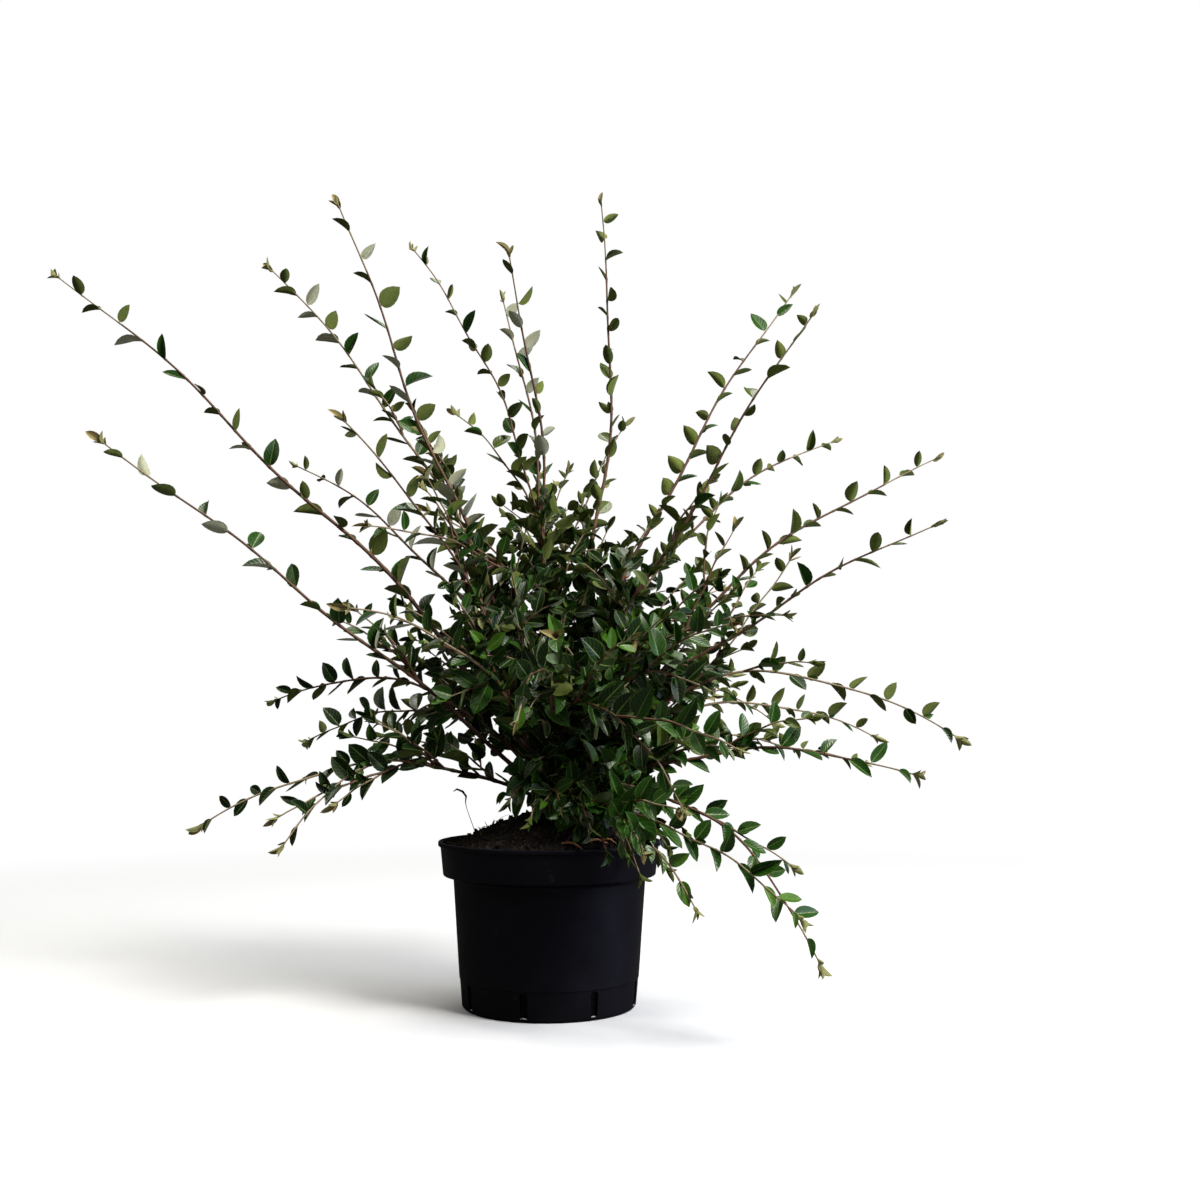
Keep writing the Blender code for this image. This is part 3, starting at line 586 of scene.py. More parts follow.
def stem_tree():
    """Turns lines of points into round stems with a relief on their bark."""
    tree, given = new_tree("round_stems", Sides="Int", Relief="Float", Grain="Float", Bark="Material")
    line = add_node(tree, "GeometryNodeMeshToCurve", {"Mesh": given["Geometry"]})
    thickness = add_node(tree, "GeometryNodeInputNamedAttribute", {"Name": "thickness"}, data_type="FLOAT")
    ring = add_node(tree, "GeometryNodeCurvePrimitiveCircle", {"Resolution": given["Sides"], "Radius": 1.0})
    tube = add_node(tree, "GeometryNodeCurveToMesh", {"Curve": line, "Profile Curve": ring,
                                                     "Scale": thickness, "Fill Caps": True})
    push = relief(tree, given["Grain"], given["Relief"], 0.5, 3.0, 0.5)
    carved = add_node(tree, "GeometryNodeSetPosition", {"Geometry": tube, "Offset": push})
    smooth = add_node(tree, "GeometryNodeSetShadeSmooth", {"Geometry": carved})
    covered = add_node(tree, "GeometryNodeSetMaterial", {"Geometry": smooth, "Material": given["Bark"]})
    add_node(tree, "NodeGroupOutput", {"Geometry": covered})
    return tree


def leaf_tree():
    """Sets a cut of leaf on every point, and gives its faces their three finishes."""
    tree, given = new_tree("leaves_on_points", Cuts="Collection", Upper="Material", Underside="Material",
                           Midrib="Material")
    cuts = add_node(tree, "GeometryNodeCollectionInfo",
                    {"Collection": given["Cuts"], "Separate Children": True, "Reset Children": True})
    cut, turn, size = [add_node(tree, "GeometryNodeInputNamedAttribute", {"Name": name}, data_type=kind)
                       for name, kind in (("cut", "INT"), ("turn", "QUATERNION"), ("size", "FLOAT_VECTOR"))]
    set_out = add_node(tree, "GeometryNodeInstanceOnPoints",
                       {"Points": given["Geometry"], "Instance": cuts, "Pick Instance": True,
                        "Instance Index": cut, "Rotation": turn, "Scale": size})
    real = add_node(tree, "GeometryNodeRealizeInstances", {"Geometry": set_out})
    leaves = add_node(tree, "GeometryNodeSetMaterial", {"Geometry": real, "Material": given["Upper"]})
    for strip in ("Underside", "Midrib"):
        faces = add_node(tree, "GeometryNodeInputNamedAttribute", {"Name": strip.lower()},
                         data_type="BOOLEAN")
        leaves = add_node(tree, "GeometryNodeSetMaterial",
                          {"Geometry": leaves, "Selection": faces, "Material": given[strip]})
    add_node(tree, "NodeGroupOutput", {"Geometry": leaves})
    return tree


def crumble_tree():
    """Breaks a smooth mound up into lumps and crumbs above a height."""
    tree, given = new_tree("crumbled_mound", Lump="Float", Rise="Float", Above="Float", Finish="Material")
    place = add_node(tree, "ShaderNodeSeparateXYZ", {"Vector": add_node(tree, "GeometryNodeInputPosition")})
    top = add_node(tree, "FunctionNodeCompare", {"A": place.outputs["Z"], "B": given["Above"]},
                   data_type="FLOAT", operation="GREATER_THAN")
    push = relief(tree, given["Lump"], given["Rise"], 0.42, 6.0, 0.75)
    broken = add_node(tree, "GeometryNodeSetPosition",
                      {"Geometry": given["Geometry"], "Selection": top, "Offset": push})
    covered = add_node(tree, "GeometryNodeSetMaterial", {"Geometry": broken, "Material": given["Finish"]})
    add_node(tree, "NodeGroupOutput", {"Geometry": covered})
    return tree


def scatter_tree():
    """Strews copies of one shape over a surface, each turned and sized by a fixed seed."""
    tree, given = new_tree("strewn_bits", Shape="Object", Density="Float", Seed="Int", Smallest="Float",
                           Largest="Float", Tilt="Float", Finish="Material")
    seed, tilt = given["Seed"], given["Tilt"]
    spots = add_node(tree, "GeometryNodeDistributePointsOnFaces",
                     {"Mesh": given["Geometry"], "Density": given["Density"], "Seed": seed})
    lean = add_node(tree, "ShaderNodeMath", {0: tilt, 1: -1.0}, operation="MULTIPLY")
    most = add_node(tree, "ShaderNodeCombineXYZ", {"X": tilt, "Y": tilt, "Z": math.tau})
    least = add_node(tree, "ShaderNodeCombineXYZ", {"X": lean, "Y": lean, "Z": 0.0})
    spin = add_node(tree, "FunctionNodeRandomValue", {"Min": least, "Max": most, "Seed": seed},
                    data_type="FLOAT_VECTOR")
    turn = add_node(tree, "FunctionNodeEulerToRotation", {"Euler": spin})
    laid = add_node(tree, "FunctionNodeRotateRotation",
                    {"Rotation": spots.outputs["Rotation"], "Rotate By": turn}, rotation_space="LOCAL")
    size = add_node(tree, "FunctionNodeRandomValue",
                    {"Min": given["Smallest"], "Max": given["Largest"], "Seed": seed}, data_type="FLOAT")
    shape = add_node(tree, "GeometryNodeObjectInfo", {"Object": given["Shape"]})
    strewn = add_node(tree, "GeometryNodeInstanceOnPoints",
                      {"Points": spots.outputs["Points"], "Instance": shape.outputs["Geometry"],
                       "Rotation": laid, "Scale": size})
    real = add_node(tree, "GeometryNodeRealizeInstances", {"Geometry": strewn})
    covered = add_node(tree, "GeometryNodeSetMaterial", {"Geometry": real, "Material": given["Finish"]})
    add_node(tree, "NodeGroupOutput", {"Geometry": covered})
    return tree


# Lines of growth, by the rule of the solids

def unit(vector):
    return vector / np.linalg.norm(vector)


def outward(azimuth):
    angle = math.radians(azimuth)
    return np.array([math.cos(angle), math.sin(angle), 0.0])


def tip_at(azimuth, reach, height):
    """A tip from degrees and millimetres."""
    tip = outward(azimuth) * reach * MM
    tip[2] = height * MM
    return tip


def stem_radius(above):
    taper = STEM_FOOT_RADIUS + (STEM_TIP_RADIUS - STEM_FOOT_RADIUS) * above / STEM_HEIGHT
    return taper + FLARE * math.exp(-above / FLARE_HEIGHT)


def stem_centre(above):
    share = above / STEM_HEIGHT
    return np.array([0.0, -STEM_LEAN * share * share, MOUND_TOP + GAP + above])


def arc(foot, tip, arch):
    """Points along a bow from foot to tip, whose height is arch times the chord."""
    chord = tip - foot
    length = np.linalg.norm(chord)
    up = np.array([0.0, 0.0, 1.0])
    rise = unit(up - chord * (up @ chord) / length ** 2)
    middle = (foot + tip) / 2 + rise * 2 * arch * length
    share = np.linspace(0.0, 1.0, max(4, round(length / POINT_STEP)))[:, None]
    return (1 - share) ** 2 * foot + 2 * share * (1 - share) * middle + share ** 2 * tip


def lengths_along(line):
    return np.concatenate([[0.0], np.cumsum(np.linalg.norm(np.diff(line, axis=0), axis=1))])


def point_on(line, distance):
    """The point and direction at a distance along a line of points."""
    along = lengths_along(line)
    near = [min(max(distance + reach, 0.0), along[-1]) for reach in (0.0, -POINT_STEP, POINT_STEP)]
    point, behind, ahead = [np.array([np.interp(d, along, line[:, k]) for k in range(3)]) for d in near]
    return point, unit(ahead - behind)


def waved(line, rng):
    """The line with a slight wave across it, that is nil at its foot and tip."""
    length = lengths_along(line)[-1]
    chord = unit(line[-1] - line[0])
    across = unit(np.cross(chord, [0.3, 0.2, 1.0]))
    lift = np.cross(across, chord)
    share = np.linspace(0.0, 1.0, len(line))[:, None]
    phases = [rng.uniform(0, math.tau) for _ in range(2)]
    fade = np.sin(math.pi * share)
    wave = across * np.sin(share * 9 + phases[0]) + lift * np.sin(share * 13 + phases[1])
    return line + wave * fade * length * WAVE_SHARE


def taper(foot, tip, length, curve=1.0):
    """How the radius of a stem falls with the distance from its foot."""
    return lambda distance: foot + (tip - foot) * (distance / length) ** curve


def side_of(heading, roll):
    """A direction square to the heading, turned by roll from level."""
    level = np.cross(heading, [0.0, 0.0, 1.0])
    if np.linalg.norm(level) < 0.2:
        level = np.cross(heading, [0.0, 1.0, 0.0])
    level = unit(level)
    return level * math.cos(roll) + np.cross(level, heading) * math.sin(roll)


def leaning(heading, rank, angle):
    """The heading turned by an angle towards a rank."""
    return heading * math.cos(angle) + rank * math.sin(angle)


def mound_height(radius):
    edge = COLLAR_TOP_RADIUS - WALL
    share = max(0.0, (radius - MOUND_FLAT) / (edge - MOUND_FLAT))
    return MOUND_TOP - (MOUND_TOP - MOUND_EDGE) * min(1.0, share) ** MOUND_CURVE


def off_the_pot(places, clear):
    """True where every place is clear of the pot and the compost."""
    for x, y, z in places:
        radius = math.hypot(x, y)
        if radius < LIP_RADIUS + clear and z < max(mound_height(radius), POT_HEIGHT) + clear:
            return False
    return True


def in_an_opening(point):
    """True where the photograph shows sky under the crown or between its shoots."""
    return any(left < point[0] < right and low < point[2] < high for left, right, low, high in OPENINGS)


def in_front(point):
    """True at the lower front of the crown, where fresh growth shows."""
    return point[1] < FRONT_DEPTH and point[2] < FRONT_TOP


def in_the_box(point):
    """True where a point stays within a little of the solids' box."""
    low, high = np.array(cad_box[0]) - BOX_MARGIN, np.array(cad_box[1]) + BOX_MARGIN
    return bool(np.all(point > low) and np.all(point < high))


def from_the_middle(point):
    return np.linalg.norm(point - np.array(CROWN_MIDDLE))


def risen(point, heights):
    """How far a point has risen between two heights, from 0 to 1."""
    low, high = heights
    return min(1.0, max(0.0, (point[2] - low) / (high - low)))


def light_at(point, from_behind=False):
    """Where the light comes from at a point: outwards low down, and from the back higher up."""
    back = 1.0 if from_behind or point[1] > BACK_LIGHT_DEPTH else risen(point, BACK_LIGHT_HEIGHT)
    away = unit(np.array([point[0], point[1], 0.0]) + 1e-6)
    return np.array([0.0, DEPTH_LIGHT * (2 * back - 1), UP_LIGHT]) + away * OUTWARD_LIGHT


def shrink_at(point):
    """The size of leaves in the crown: full low down, and less higher up."""
    return 1 - UPPER_SHRINK * risen(point, SHRINK_HEIGHT)


class Shrub:
    """All the stems and leaves, grown shoot by shoot."""

    def __init__(self):
        self.stems = {"woody": [], "leafy": [], "young": []}
        self.leaves = []

    def add_stem(self, line, radius_at, nodes, old_share, young_share):
        """A stem in up to three stretches of bark, swollen where leaves stand on it."""
        distances = lengths_along(line)
        radii = np.array([radius_at(d) for d in distances])
        for node in nodes:
            radii *= 1 + NODE_SWELLING * np.exp(-((distances - node) / NODE_SPREAD) ** 2)
        last = len(line) - 1
        ends = [0, round(old_share * last), round(young_share * last), last]
        for kind, low, high in zip(self.stems, ends, ends[1:]):
            if high > low:
                self.stems[kind].append((line[low:high + 1], radii[low:high + 1]))

    def add_leaf(self, rng, point, heading, rank, length, tint, tilt, light, breadth=1.0, spread=FACE_SPREAD):
        """One leaf on its stalk, turned towards the light. It is left out where it would touch the pot."""
        along = unit(leaning(heading, rank, tilt))
        light = light + np.array([rng.gauss(0, spread) for _ in range(3)])
        face = unit(light - along * (light @ along))
        root = point - along * ROOT_DEPTH
        tip = root + along * length
        if off_the_pot([tip, root + along * length / 2], POT_CLEARANCE) and in_the_box(tip):
            self.leaves.append(Leaf(root, along, face, length, breadth * rng.uniform(*LEAF_BREADTH),
                                    rng.randrange(len(LEAF_CUTS)), tint))

    def add_tuft(self, rng, line, tint="downy", opened=TUFT_OPENED):
        """The small young leaves that are still closed round a tip, or just opening."""
        point, heading = point_on(line, lengths_along(line)[-1] - 1 * MM)
        for i in range(TUFT_LEAVES):
            rank = side_of(heading, i * TUFT_TURN + rng.uniform(-TUFT_TURN_SPREAD, TUFT_TURN_SPREAD))
            length = rng.uniform(*TUFT_LEAF) * (1 - TUFT_SHRINK * i)
            self.add_leaf(rng, point - heading * i * TUFT_STEP, heading, rank, length, tint,
                          rng.uniform(*opened), heading - rank, TUFT_BREADTH)

    def tint_of(self, rng, habit, share, point, rank):
        """The tint of one leaf on a shoot, with painted shade inside the crown and painted light on raised
        leaves at the right.
        """
        tint = habit.tint if share < habit.fresh_from else rng.choice(("fresh", "fresh", "mid"))
        if rng.random() < DEAD_SHARE and share < 0.5:
            tint = "dead"
        # Painted shade and light: silver gives way to deep green inside the crown, to lighter olive on raised
        # leaves right of a line, and to mid green elsewhere
        if tint == "silver" and (share < INNER_SHARE or rng.random() > SILVER_LEAVES):
            lit = rank[2] > 0 and point[0] > PAINTED_LIGHT_LEAVES_FROM
            tint = "deep" if from_the_middle(point) < PAINTED_SHADE_RADIUS else "olive" if lit else "mid"
        if tint == habit.tint == "olive" and (share < INNER_SHARE or rng.random() > OLIVE_LEAVES):
            tint = "mid"
        return tint

    def dress(self, rng, line, start, habit):
        """Leaves in two ranks along a shoot, one raised above it and the next lying below it."""
        length = lengths_along(line)[-1]
        distance = start
        side = rng.choice((-1, 1))
        roll = math.pi / 2 + rng.gauss(0, ROLL_SPREAD)
        nodes = []
        while distance < length - LEAF_STOP:
            share = distance / length
            point, heading = point_on(line, distance)
            rank = side_of(heading, roll + rng.gauss(0, ROLL_SPREAD)) * side
            size = LEAF_LENGTH * (1 + rng.uniform(-LEAF_SPREAD, LEAF_SPREAD))
            size *= 1 + INNER_LEAF_GROWTH * max(0.0, 1 - 2 * share)
            size = min(size * habit.size, LAST_LEAF + LAST_LEAF_GROWTH * (length - distance))
            light = light_at(point, habit.away)
            if point[2] > BACK_LIGHT_HEIGHT[1] and rng.random() < TURNED_AWAY:
                light = light * (1, -1, 1)
            tint = self.tint_of(rng, habit, share, point, rank)
            if tint == "dead":
                size = DEAD_LEAF
            if rank[2] > 0:
                angle = rng.uniform(*RAISED_ANGLE)
            else:
                angle = rng.uniform(*LYING_ANGLE)
                light = light * (0.5 if light[1] < 0 else 0.0) + np.array([0.0, 0.0, LYING_LIGHT])
            self.add_leaf(rng, point, heading, rank, size, tint, angle, light)
            if rng.random() < BUD_CHANCE - BUD_FADE * share:
                self.add_leaf(rng, point, heading, rank, rng.uniform(*BUD_LEAF), rng.choice(("fresh", "mid")),
                              rng.uniform(*BUD_ANGLE), light_at(point))
            nodes.append(distance)
            side = -side
            roll += rng.gauss(0, ROLL_DRIFT)
            wide = min(1.0, share / habit.wide_from) ** 2
            distance += (INNER_LEAF_STEP + (habit.step - INNER_LEAF_STEP) * wide) * rng.uniform(*STEP_SPREAD)
        return nodes

    def dress_twig(self, rng, twig, tint):
        """Leaves round a side twig, which face outwards and up, and a pair of young ones at its end."""
        length = lengths_along(twig)[-1]
        distance = TWIG_LEAF_START
        side = rng.choice((-1, 1))
        roll = rng.uniform(0, math.pi)
        nodes = []
        while distance < length:
            point, heading = point_on(twig, distance)
            rank = side_of(heading, roll + rng.gauss(0, TWIG_ROLL_SPREAD)) * side
            size = LEAF_LENGTH * (1 + rng.uniform(-LEAF_SPREAD, LEAF_SPREAD))
            size *= (1 + INNER_LEAF_GROWTH - TWIG_LEAF_FADE * distance / length) * shrink_at(point)
            self.add_leaf(rng, point, heading, rank, size, tint, rng.uniform(*TWIG_LEAF_ANGLE),
                          light_at(point), spread=TWIG_FACE_SPREAD)
            nodes.append(distance)
            side = -side
            roll += rng.gauss(0, TWIG_ROLL_DRIFT)
            distance += TWIG_LEAF_STEP * rng.uniform(*STEP_SPREAD)
        point, heading = point_on(twig, length)
        for side in (-1, 1):
            rank = side_of(heading, rng.uniform(-1, 1)) * side
            leaf_tint = "fresh" if rng.random() < FRESH_TWIG_TIPS and in_front(point) else tint
            self.add_leaf(rng, point, heading, rank, LEAF_LENGTH * rng.uniform(*END_LEAF), leaf_tint,
                          rng.uniform(*END_LEAF_ANGLE), light_at(point))
        return nodes

    def add_twigs(self, rng, line, start, end):
        """Side twigs, thick in the middle of the crown and none outside it."""
        distance = start
        side = rng.choice((-1, 1))
        while distance < end:
            point, heading = point_on(line, distance)
            off = point - np.array(CROWN_MIDDLE)
            off[2] *= UPWARD_FADE if off[2] > 0 else 1.0
            out = np.linalg.norm(off) / DENSE_RADIUS
            if rng.random() < TWIG_CHANCE - TWIG_CHANCE * out ** TWIG_FADE:
                angle = rng.uniform(*TWIG_ANGLE)
                rank = side_of(heading, rng.uniform(-TWIG_ROLL, TWIG_ROLL)) * side
                length = rng.uniform(*TWIG_LENGTH) * (TWIG_LENGTH_SHARE - TWIG_LENGTH_FADE * out)
                tip = point + leaning(heading, rank, angle) * length
                twig = arc(point, tip, rng.uniform(*TWIG_ARCH))
                if off_the_pot(twig[2:], TWIG_CLEARANCE) and not in_an_opening(tip):
                    tint = rng.choice(TWIG_TINTS if in_front(tip) else INNER_TWIG_TINTS)
                    nodes = self.dress_twig(rng, twig, tint)
                    self.add_stem(twig, taper(TWIG_RADIUS, TWIG_TIP_RADIUS, length), nodes, 0.0, TWIG_YOUNG)
            side = -side
            distance += TWIG_STEP * rng.uniform(*TWIG_STEP_SPREAD)

    def add_branch(self, rng, foot, tip, arch, tint, young_share=BRANCH_YOUNG):
        """A branch inside the crown: a thin leafy shoot with a few short twigs."""
        line = waved(arc(foot, tip, arch), rng)
        length = lengths_along(line)[-1]
        if not off_the_pot(line[4:], BRANCH_CLEARANCE) or in_an_opening(tip):
            return
        habit = Habit(tint, WIDE_FROM_BRANCH, OUTER_LEAF_STEP, shrink_at(tip), False, 1.0)
        nodes = self.dress(rng, line, BRANCH_LEAF_START, habit)
        self.add_stem(line, taper(BRANCH_RADIUS, TIP_RADIUS, length), nodes, 0.0, young_share)
        downy = from_the_middle(tip) > DOWNY_FROM and rng.random() < DOWNY_TIPS
        self.add_tuft(rng, line, "downy" if downy else tint)
        self.add_twigs(rng, line, BRANCH_TWIGS[0], length - BRANCH_TWIGS[1])

    def add_branches(self, rng, line, tint, count=BRANCHES, start=BRANCH_START, limit=BRANCH_REACH,
                     size=BRANCH_LENGTH):
        """Branches that leave a shoot at a small angle and stay inside the crown."""
        length = lengths_along(line)[-1]
        for _ in range(count):
            foot, heading = point_on(line, rng.uniform(*start) * length)
            angle = rng.uniform(*BRANCH_ANGLE)
            rank = side_of(heading, rng.uniform(0, math.tau))
            reach = rng.uniform(*size)
            if rank[2] < LEAST_DROOP:
                rank = -rank
            tip = foot + leaning(heading, rank, angle) * reach
            if from_the_middle(tip) < rng.uniform(*limit):
                # Painted light: branches reaching to the right take lighter olive and mid tints, the others
                # lean to deep green
                tints = (tint, "deep", "mid") if tip[0] < PAINTED_LIGHT_BRANCHES_FROM else ("olive", "mid", "mid")
                self.add_branch(rng, foot, tip, rng.uniform(*BRANCH_ARCH), rng.choice(tints))

    def grow_low_sprays(self):
        """Short sprays low on the stem that hang over the compost and the rim."""
        rng = random.Random(SEED + len(SHOOTS))
        for azimuth, reach, height in LOW_SPRAYS:
            foot = stem_centre(rng.uniform(*SPRAY_FOOT) * MM)
            self.add_branch(rng, foot, tip_at(azimuth, reach, height), rng.uniform(*SPRAY_ARCH),
                            rng.choice(("mid", "deep")), SPRAY_YOUNG)

    def habit_of(self, rng, shoot):
        """How the leaves of a shoot look and stand."""
        on_the_left = 90 < shoot.azimuth < 270
        # Painted light: shoots on the right take the lighter mid green more often than those on the left
        tint = rng.choice(("deep", "deep", "mid") if on_the_left else ("mid", "mid", "deep"))
        upright = shoot.height > UPRIGHT[0] and shoot.reach < UPRIGHT[1]
        high_left = SILVER_AZIMUTHS[0] < shoot.azimuth < SILVER_AZIMUTHS[1] and shoot.height > SILVER_ABOVE
        # Upright and high-left shoots get the pale silvery felt, partly painted light on their undersides
        if upright or high_left:
            tint = "silver"
        if "olive" in shoot.looks:
            tint = "olive"
        fine = "fine" in shoot.looks
        step = shoot.step * MM or (OUTER_LEAF_STEP if on_the_left else RIGHT_LEAF_STEP)
        return Habit(tint, WIDE_FROM_OPEN if "open" in shoot.looks else WIDE_FROM, step,
                     FINE_SIZE if fine else SMALL_SIZE if "small" in shoot.looks else 1.0,
                     fine and not on_the_left, FRESH_FROM if "fresh" in shoot.looks else 1.0)

    def grow_shoot(self, owner, shoot):
        """One shoot with its forks, leaves, tip and side twigs."""
        rng = random.Random(SEED + owner)
        tip = tip_at(shoot.azimuth, shoot.reach, shoot.height)
        above = shoot.foot * MM
        centre = stem_centre(above)
        foot_radius = FOOT_RADIUS + FOOT_RADIUS_PER_LENGTH * np.linalg.norm(tip - centre)
        foot = centre + outward(shoot.azimuth) * stem_radius(above) * FOOT_DEPTH
        line = waved(arc(foot, tip - unit(tip - foot) * TIP_CUT, shoot.arch), rng)
        length = lengths_along(line)[-1]
        radius_at = taper(foot_radius, TIP_RADIUS, length, TAPER_CURVE)
        habit = self.habit_of(rng, shoot)
        bare = shoot.bare or (BARE_SHARE_LEFT if shoot.name.startswith("left") else BARE_SHARE)
        nodes = self.dress(rng, line, bare * length, habit)
        young_share = YOUNG_SHARE_OF_PALE if "pale" in shoot.looks else YOUNG_SHARE
        branches = 1 if "few" in shoot.looks else BRANCHES
        self.add_stem(line, radius_at, nodes, OLD_SHARE, young_share)
        self.add_tuft(rng, line, opened=BUD_OPENED if habit.tint == "olive" else TUFT_OPENED)
        self.add_twigs(rng, line, bare * length, length - SHOOT_TWIG_END)
        self.add_branches(rng, line, "deep", branches)
        if shoot.bushy:
            self.add_branches(rng, line, "deep", shoot.bushy[0], shoot.bushy[1:], BUSHY_REACH, BUSHY_LENGTH)
        for fork in shoot.forks:
            start = fork.share * length
            end = tip_at(fork.azimuth, fork.reach, fork.height)
            fork_line = waved(arc(point_on(line, start)[0], end, fork.arch), rng)
            fork_length = lengths_along(fork_line)[-1]
            nodes = self.dress(rng, fork_line, FORK_LEAF_START, habit._replace(wide_from=WIDE_FROM))
            self.add_stem(fork_line, taper(radius_at(start) * FORK_RADIUS, TIP_RADIUS, fork_length), nodes,
                          0.0, young_share * YOUNG_SHARE_OF_FORK)
            self.add_tuft(rng, fork_line)
            self.add_twigs(rng, fork_line, FORK_TWIGS[0], fork_length - FORK_TWIGS[1])
            self.add_branches(rng, fork_line, "mid", branches)


# Pieces of the plant

def keep(piece, slot, *nodes):
    """Puts a finished piece on the body, in place of the solids named. The slot is not used."""
    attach(piece, "root")
    if nodes:
        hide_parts(*nodes)


def lines_mesh(name, lines):
    """One mesh of loose lines, with each point's radius as its thickness."""
    points, edges, radii = [], [], []
    for line, line_radii in lines:
        first = len(points)
        points += [tuple(p) for p in line]
        radii += list(line_radii)
        edges += [(i, i + 1) for i in range(first, len(points) - 1)]
    mesh = bpy.data.meshes.new(name)
    mesh.from_pydata(points, edges, [])
    mesh.attributes.new("thickness", "FLOAT", "POINT").data.foreach_set("value", radii)
    return mesh


def keep_stems(tree, name, lines, slot, nodes, sides, relief_depth, grain, finish):
    """Keeps round stems made from lines."""
    values = {"Sides": sides, "Relief": relief_depth * MM, "Grain": grain * MM, "Bark": finish}
    keep(made_by(tree, name, lines_mesh(name, lines), values), slot, *nodes)


def leaf_half_width(blade):
    """Half the width at a share of the blade: round at its base, pointed at its tip."""
    return LEAF_HALF_WIDTH * blade ** LEAF_BASE_CURVE * (1 - blade) ** LEAF_TIP_CURVE / LEAF_WIDEST


def leaf_cut(number, fold, droop, turn):
    """One cut of leaf, a unit long: a stalk, a folded blade with a sunk midrib, and an underside."""
    form = bmesh.new()
    under = form.faces.layers.bool.new("underside")
    middle = form.faces.layers.bool.new("midrib")
    drawn = form.loops.layers.uv.new("leaf")
    slope = math.tan(math.radians(fold))
    narrow = math.cos(math.radians(fold))
    rows, spots = [], {}
    for i, x in enumerate(LEAF_SECTIONS):
        blade = max(0.0, (x - STALK_SHARE) / (1 - STALK_SHARE))
        half = max(STALK_HALF_WIDTH, leaf_half_width(blade))
        rib = min(MIDRIB_HALF_WIDTH * (1 - 0.6 * blade), half * 0.4)
        spine = Vector((x, 0.0, -droop * blade ** 2))
        if i == len(LEAF_SECTIONS) - 1:
            tip = form.verts.new(spine)
            spots[tip] = (x, 0.5)
            rows.append([tip] * 9)
            continue
        wing = half * WING_SHARE
        lift = wing * slope + (QUILTING * (1 if i % 2 else -1) if half > 0.1 else 0.0)
        brim = half * slope
        below = lift - LEAF_THICKNESS
        across = [(-half, brim), (-wing, lift), (-rib, 0.0), (rib, 0.0), (wing, lift), (half, brim),
                  (wing, below), (0.0, -LEAF_THICKNESS), (-wing, below)]
        roll = Matrix.Rotation(math.radians(turn) * blade, 3, "X")
        rows.append([])
        for y, z in across:
            vert = form.verts.new(spine + roll @ Vector((0.0, y * narrow, z)))
            spots[vert] = (x, 0.5 + 0.5 * y / half)
            rows[-1].append(vert)

    def add_face(corners, is_below, is_rib):
        corners = list(dict.fromkeys(corners))
        if len(corners) > 2:
            face = form.faces.new(corners)
            face[under] = is_below
            face[middle] = is_rib
            face.smooth = True
            for corner in face.loops:
                corner[drawn].uv = spots[corner.vert]

    for a, b in zip(rows, rows[1:]):
        for k in range(9):
            n = (k + 1) % 9
            corners = (a[k], b[k], b[n], a[n]) if k < 5 else (b[k], b[n], a[n], a[k])
            add_face(corners[:3], k > 4, k == 2)
            add_face((corners[0], corners[2], corners[3]), k > 4, k == 2)
    add_face(rows[0], True, False)
    bmesh.ops.recalc_face_normals(form, faces=form.faces)
    for edge in form.edges:
        edge.smooth = len({face[under] for face in edge.link_faces}) == 1
    return mesh_of(form, f"leaf_cut_{number}")


def leaf_cuts():
    """The collection of leaf cuts that the leaves are copied from."""
    cuts = bpy.data.collections.new("leaf_cuts")
    for number, (fold, droop, turn) in enumerate(LEAF_CUTS):
        mesh = leaf_cut(number, fold, droop, turn)
        cuts.objects.link(bpy.data.objects.new(mesh.name, mesh))
    return cuts


def leaf_points_mesh(name, leaves):
    """One point for each leaf, with its turn, its size and its cut."""
    mesh = bpy.data.meshes.new(name)
    mesh.from_pydata([tuple(leaf.root) for leaf in leaves], [], [])
    turns, sizes = [], []
    for leaf in leaves:
        across = np.cross(leaf.face, leaf.along)
        turns += list(Matrix((leaf.along, across, leaf.face)).transposed().to_quaternion())
        sizes += [leaf.length, leaf.length * leaf.breadth, leaf.length]
    mesh.attributes.new("turn", "QUATERNION", "POINT").data.foreach_set("value", turns)
    mesh.attributes.new("size", "FLOAT_VECTOR", "POINT").data.foreach_set("vector", sizes)
    mesh.attributes.new("cut", "INT", "POINT").data.foreach_set("value", [leaf.cut for leaf in leaves])
    return mesh


def nodes_named(start):
    return [name for name in frame["nodes"] if name.startswith(start)]


def make_stems(shrub):
    tree = stem_tree()
    masses, boughs = nodes_named("leaves_"), nodes_named("bough_")
    heights = np.linspace(0.0, STEM_HEIGHT, 40)
    trunk = (np.array([stem_centre(h) for h in heights]), np.array([stem_radius(h) for h in heights]))
    old_bark = bark("red_brown_cotoneaster_bark", "#2a1710", "#4e3020", 0.0)
    new_bark = bark("smooth_reddish_shoot_bark", "#472b1e", "#78553c", 0.0)
    downy_bark = bark("downy_young_shoot_bark", "#6c5840", "#a08c68", 0.2)
    keep_stems(tree, "trunk", [trunk], "bark", ["stem"], 24, 0.9, 3.0, old_bark)
    keep_stems(tree, "old_boughs", shrub.stems["woody"], "bark", boughs, 12, 0.35, 1.6, old_bark)
    keep_stems(tree, "leafy_stems", shrub.stems["leafy"], "bark", masses, 8, 0.12, 1.4, new_bark)
    keep_stems(tree, "young_shoots", shrub.stems["young"], "bark", masses, 6, 0.05, 1.2, downy_bark)


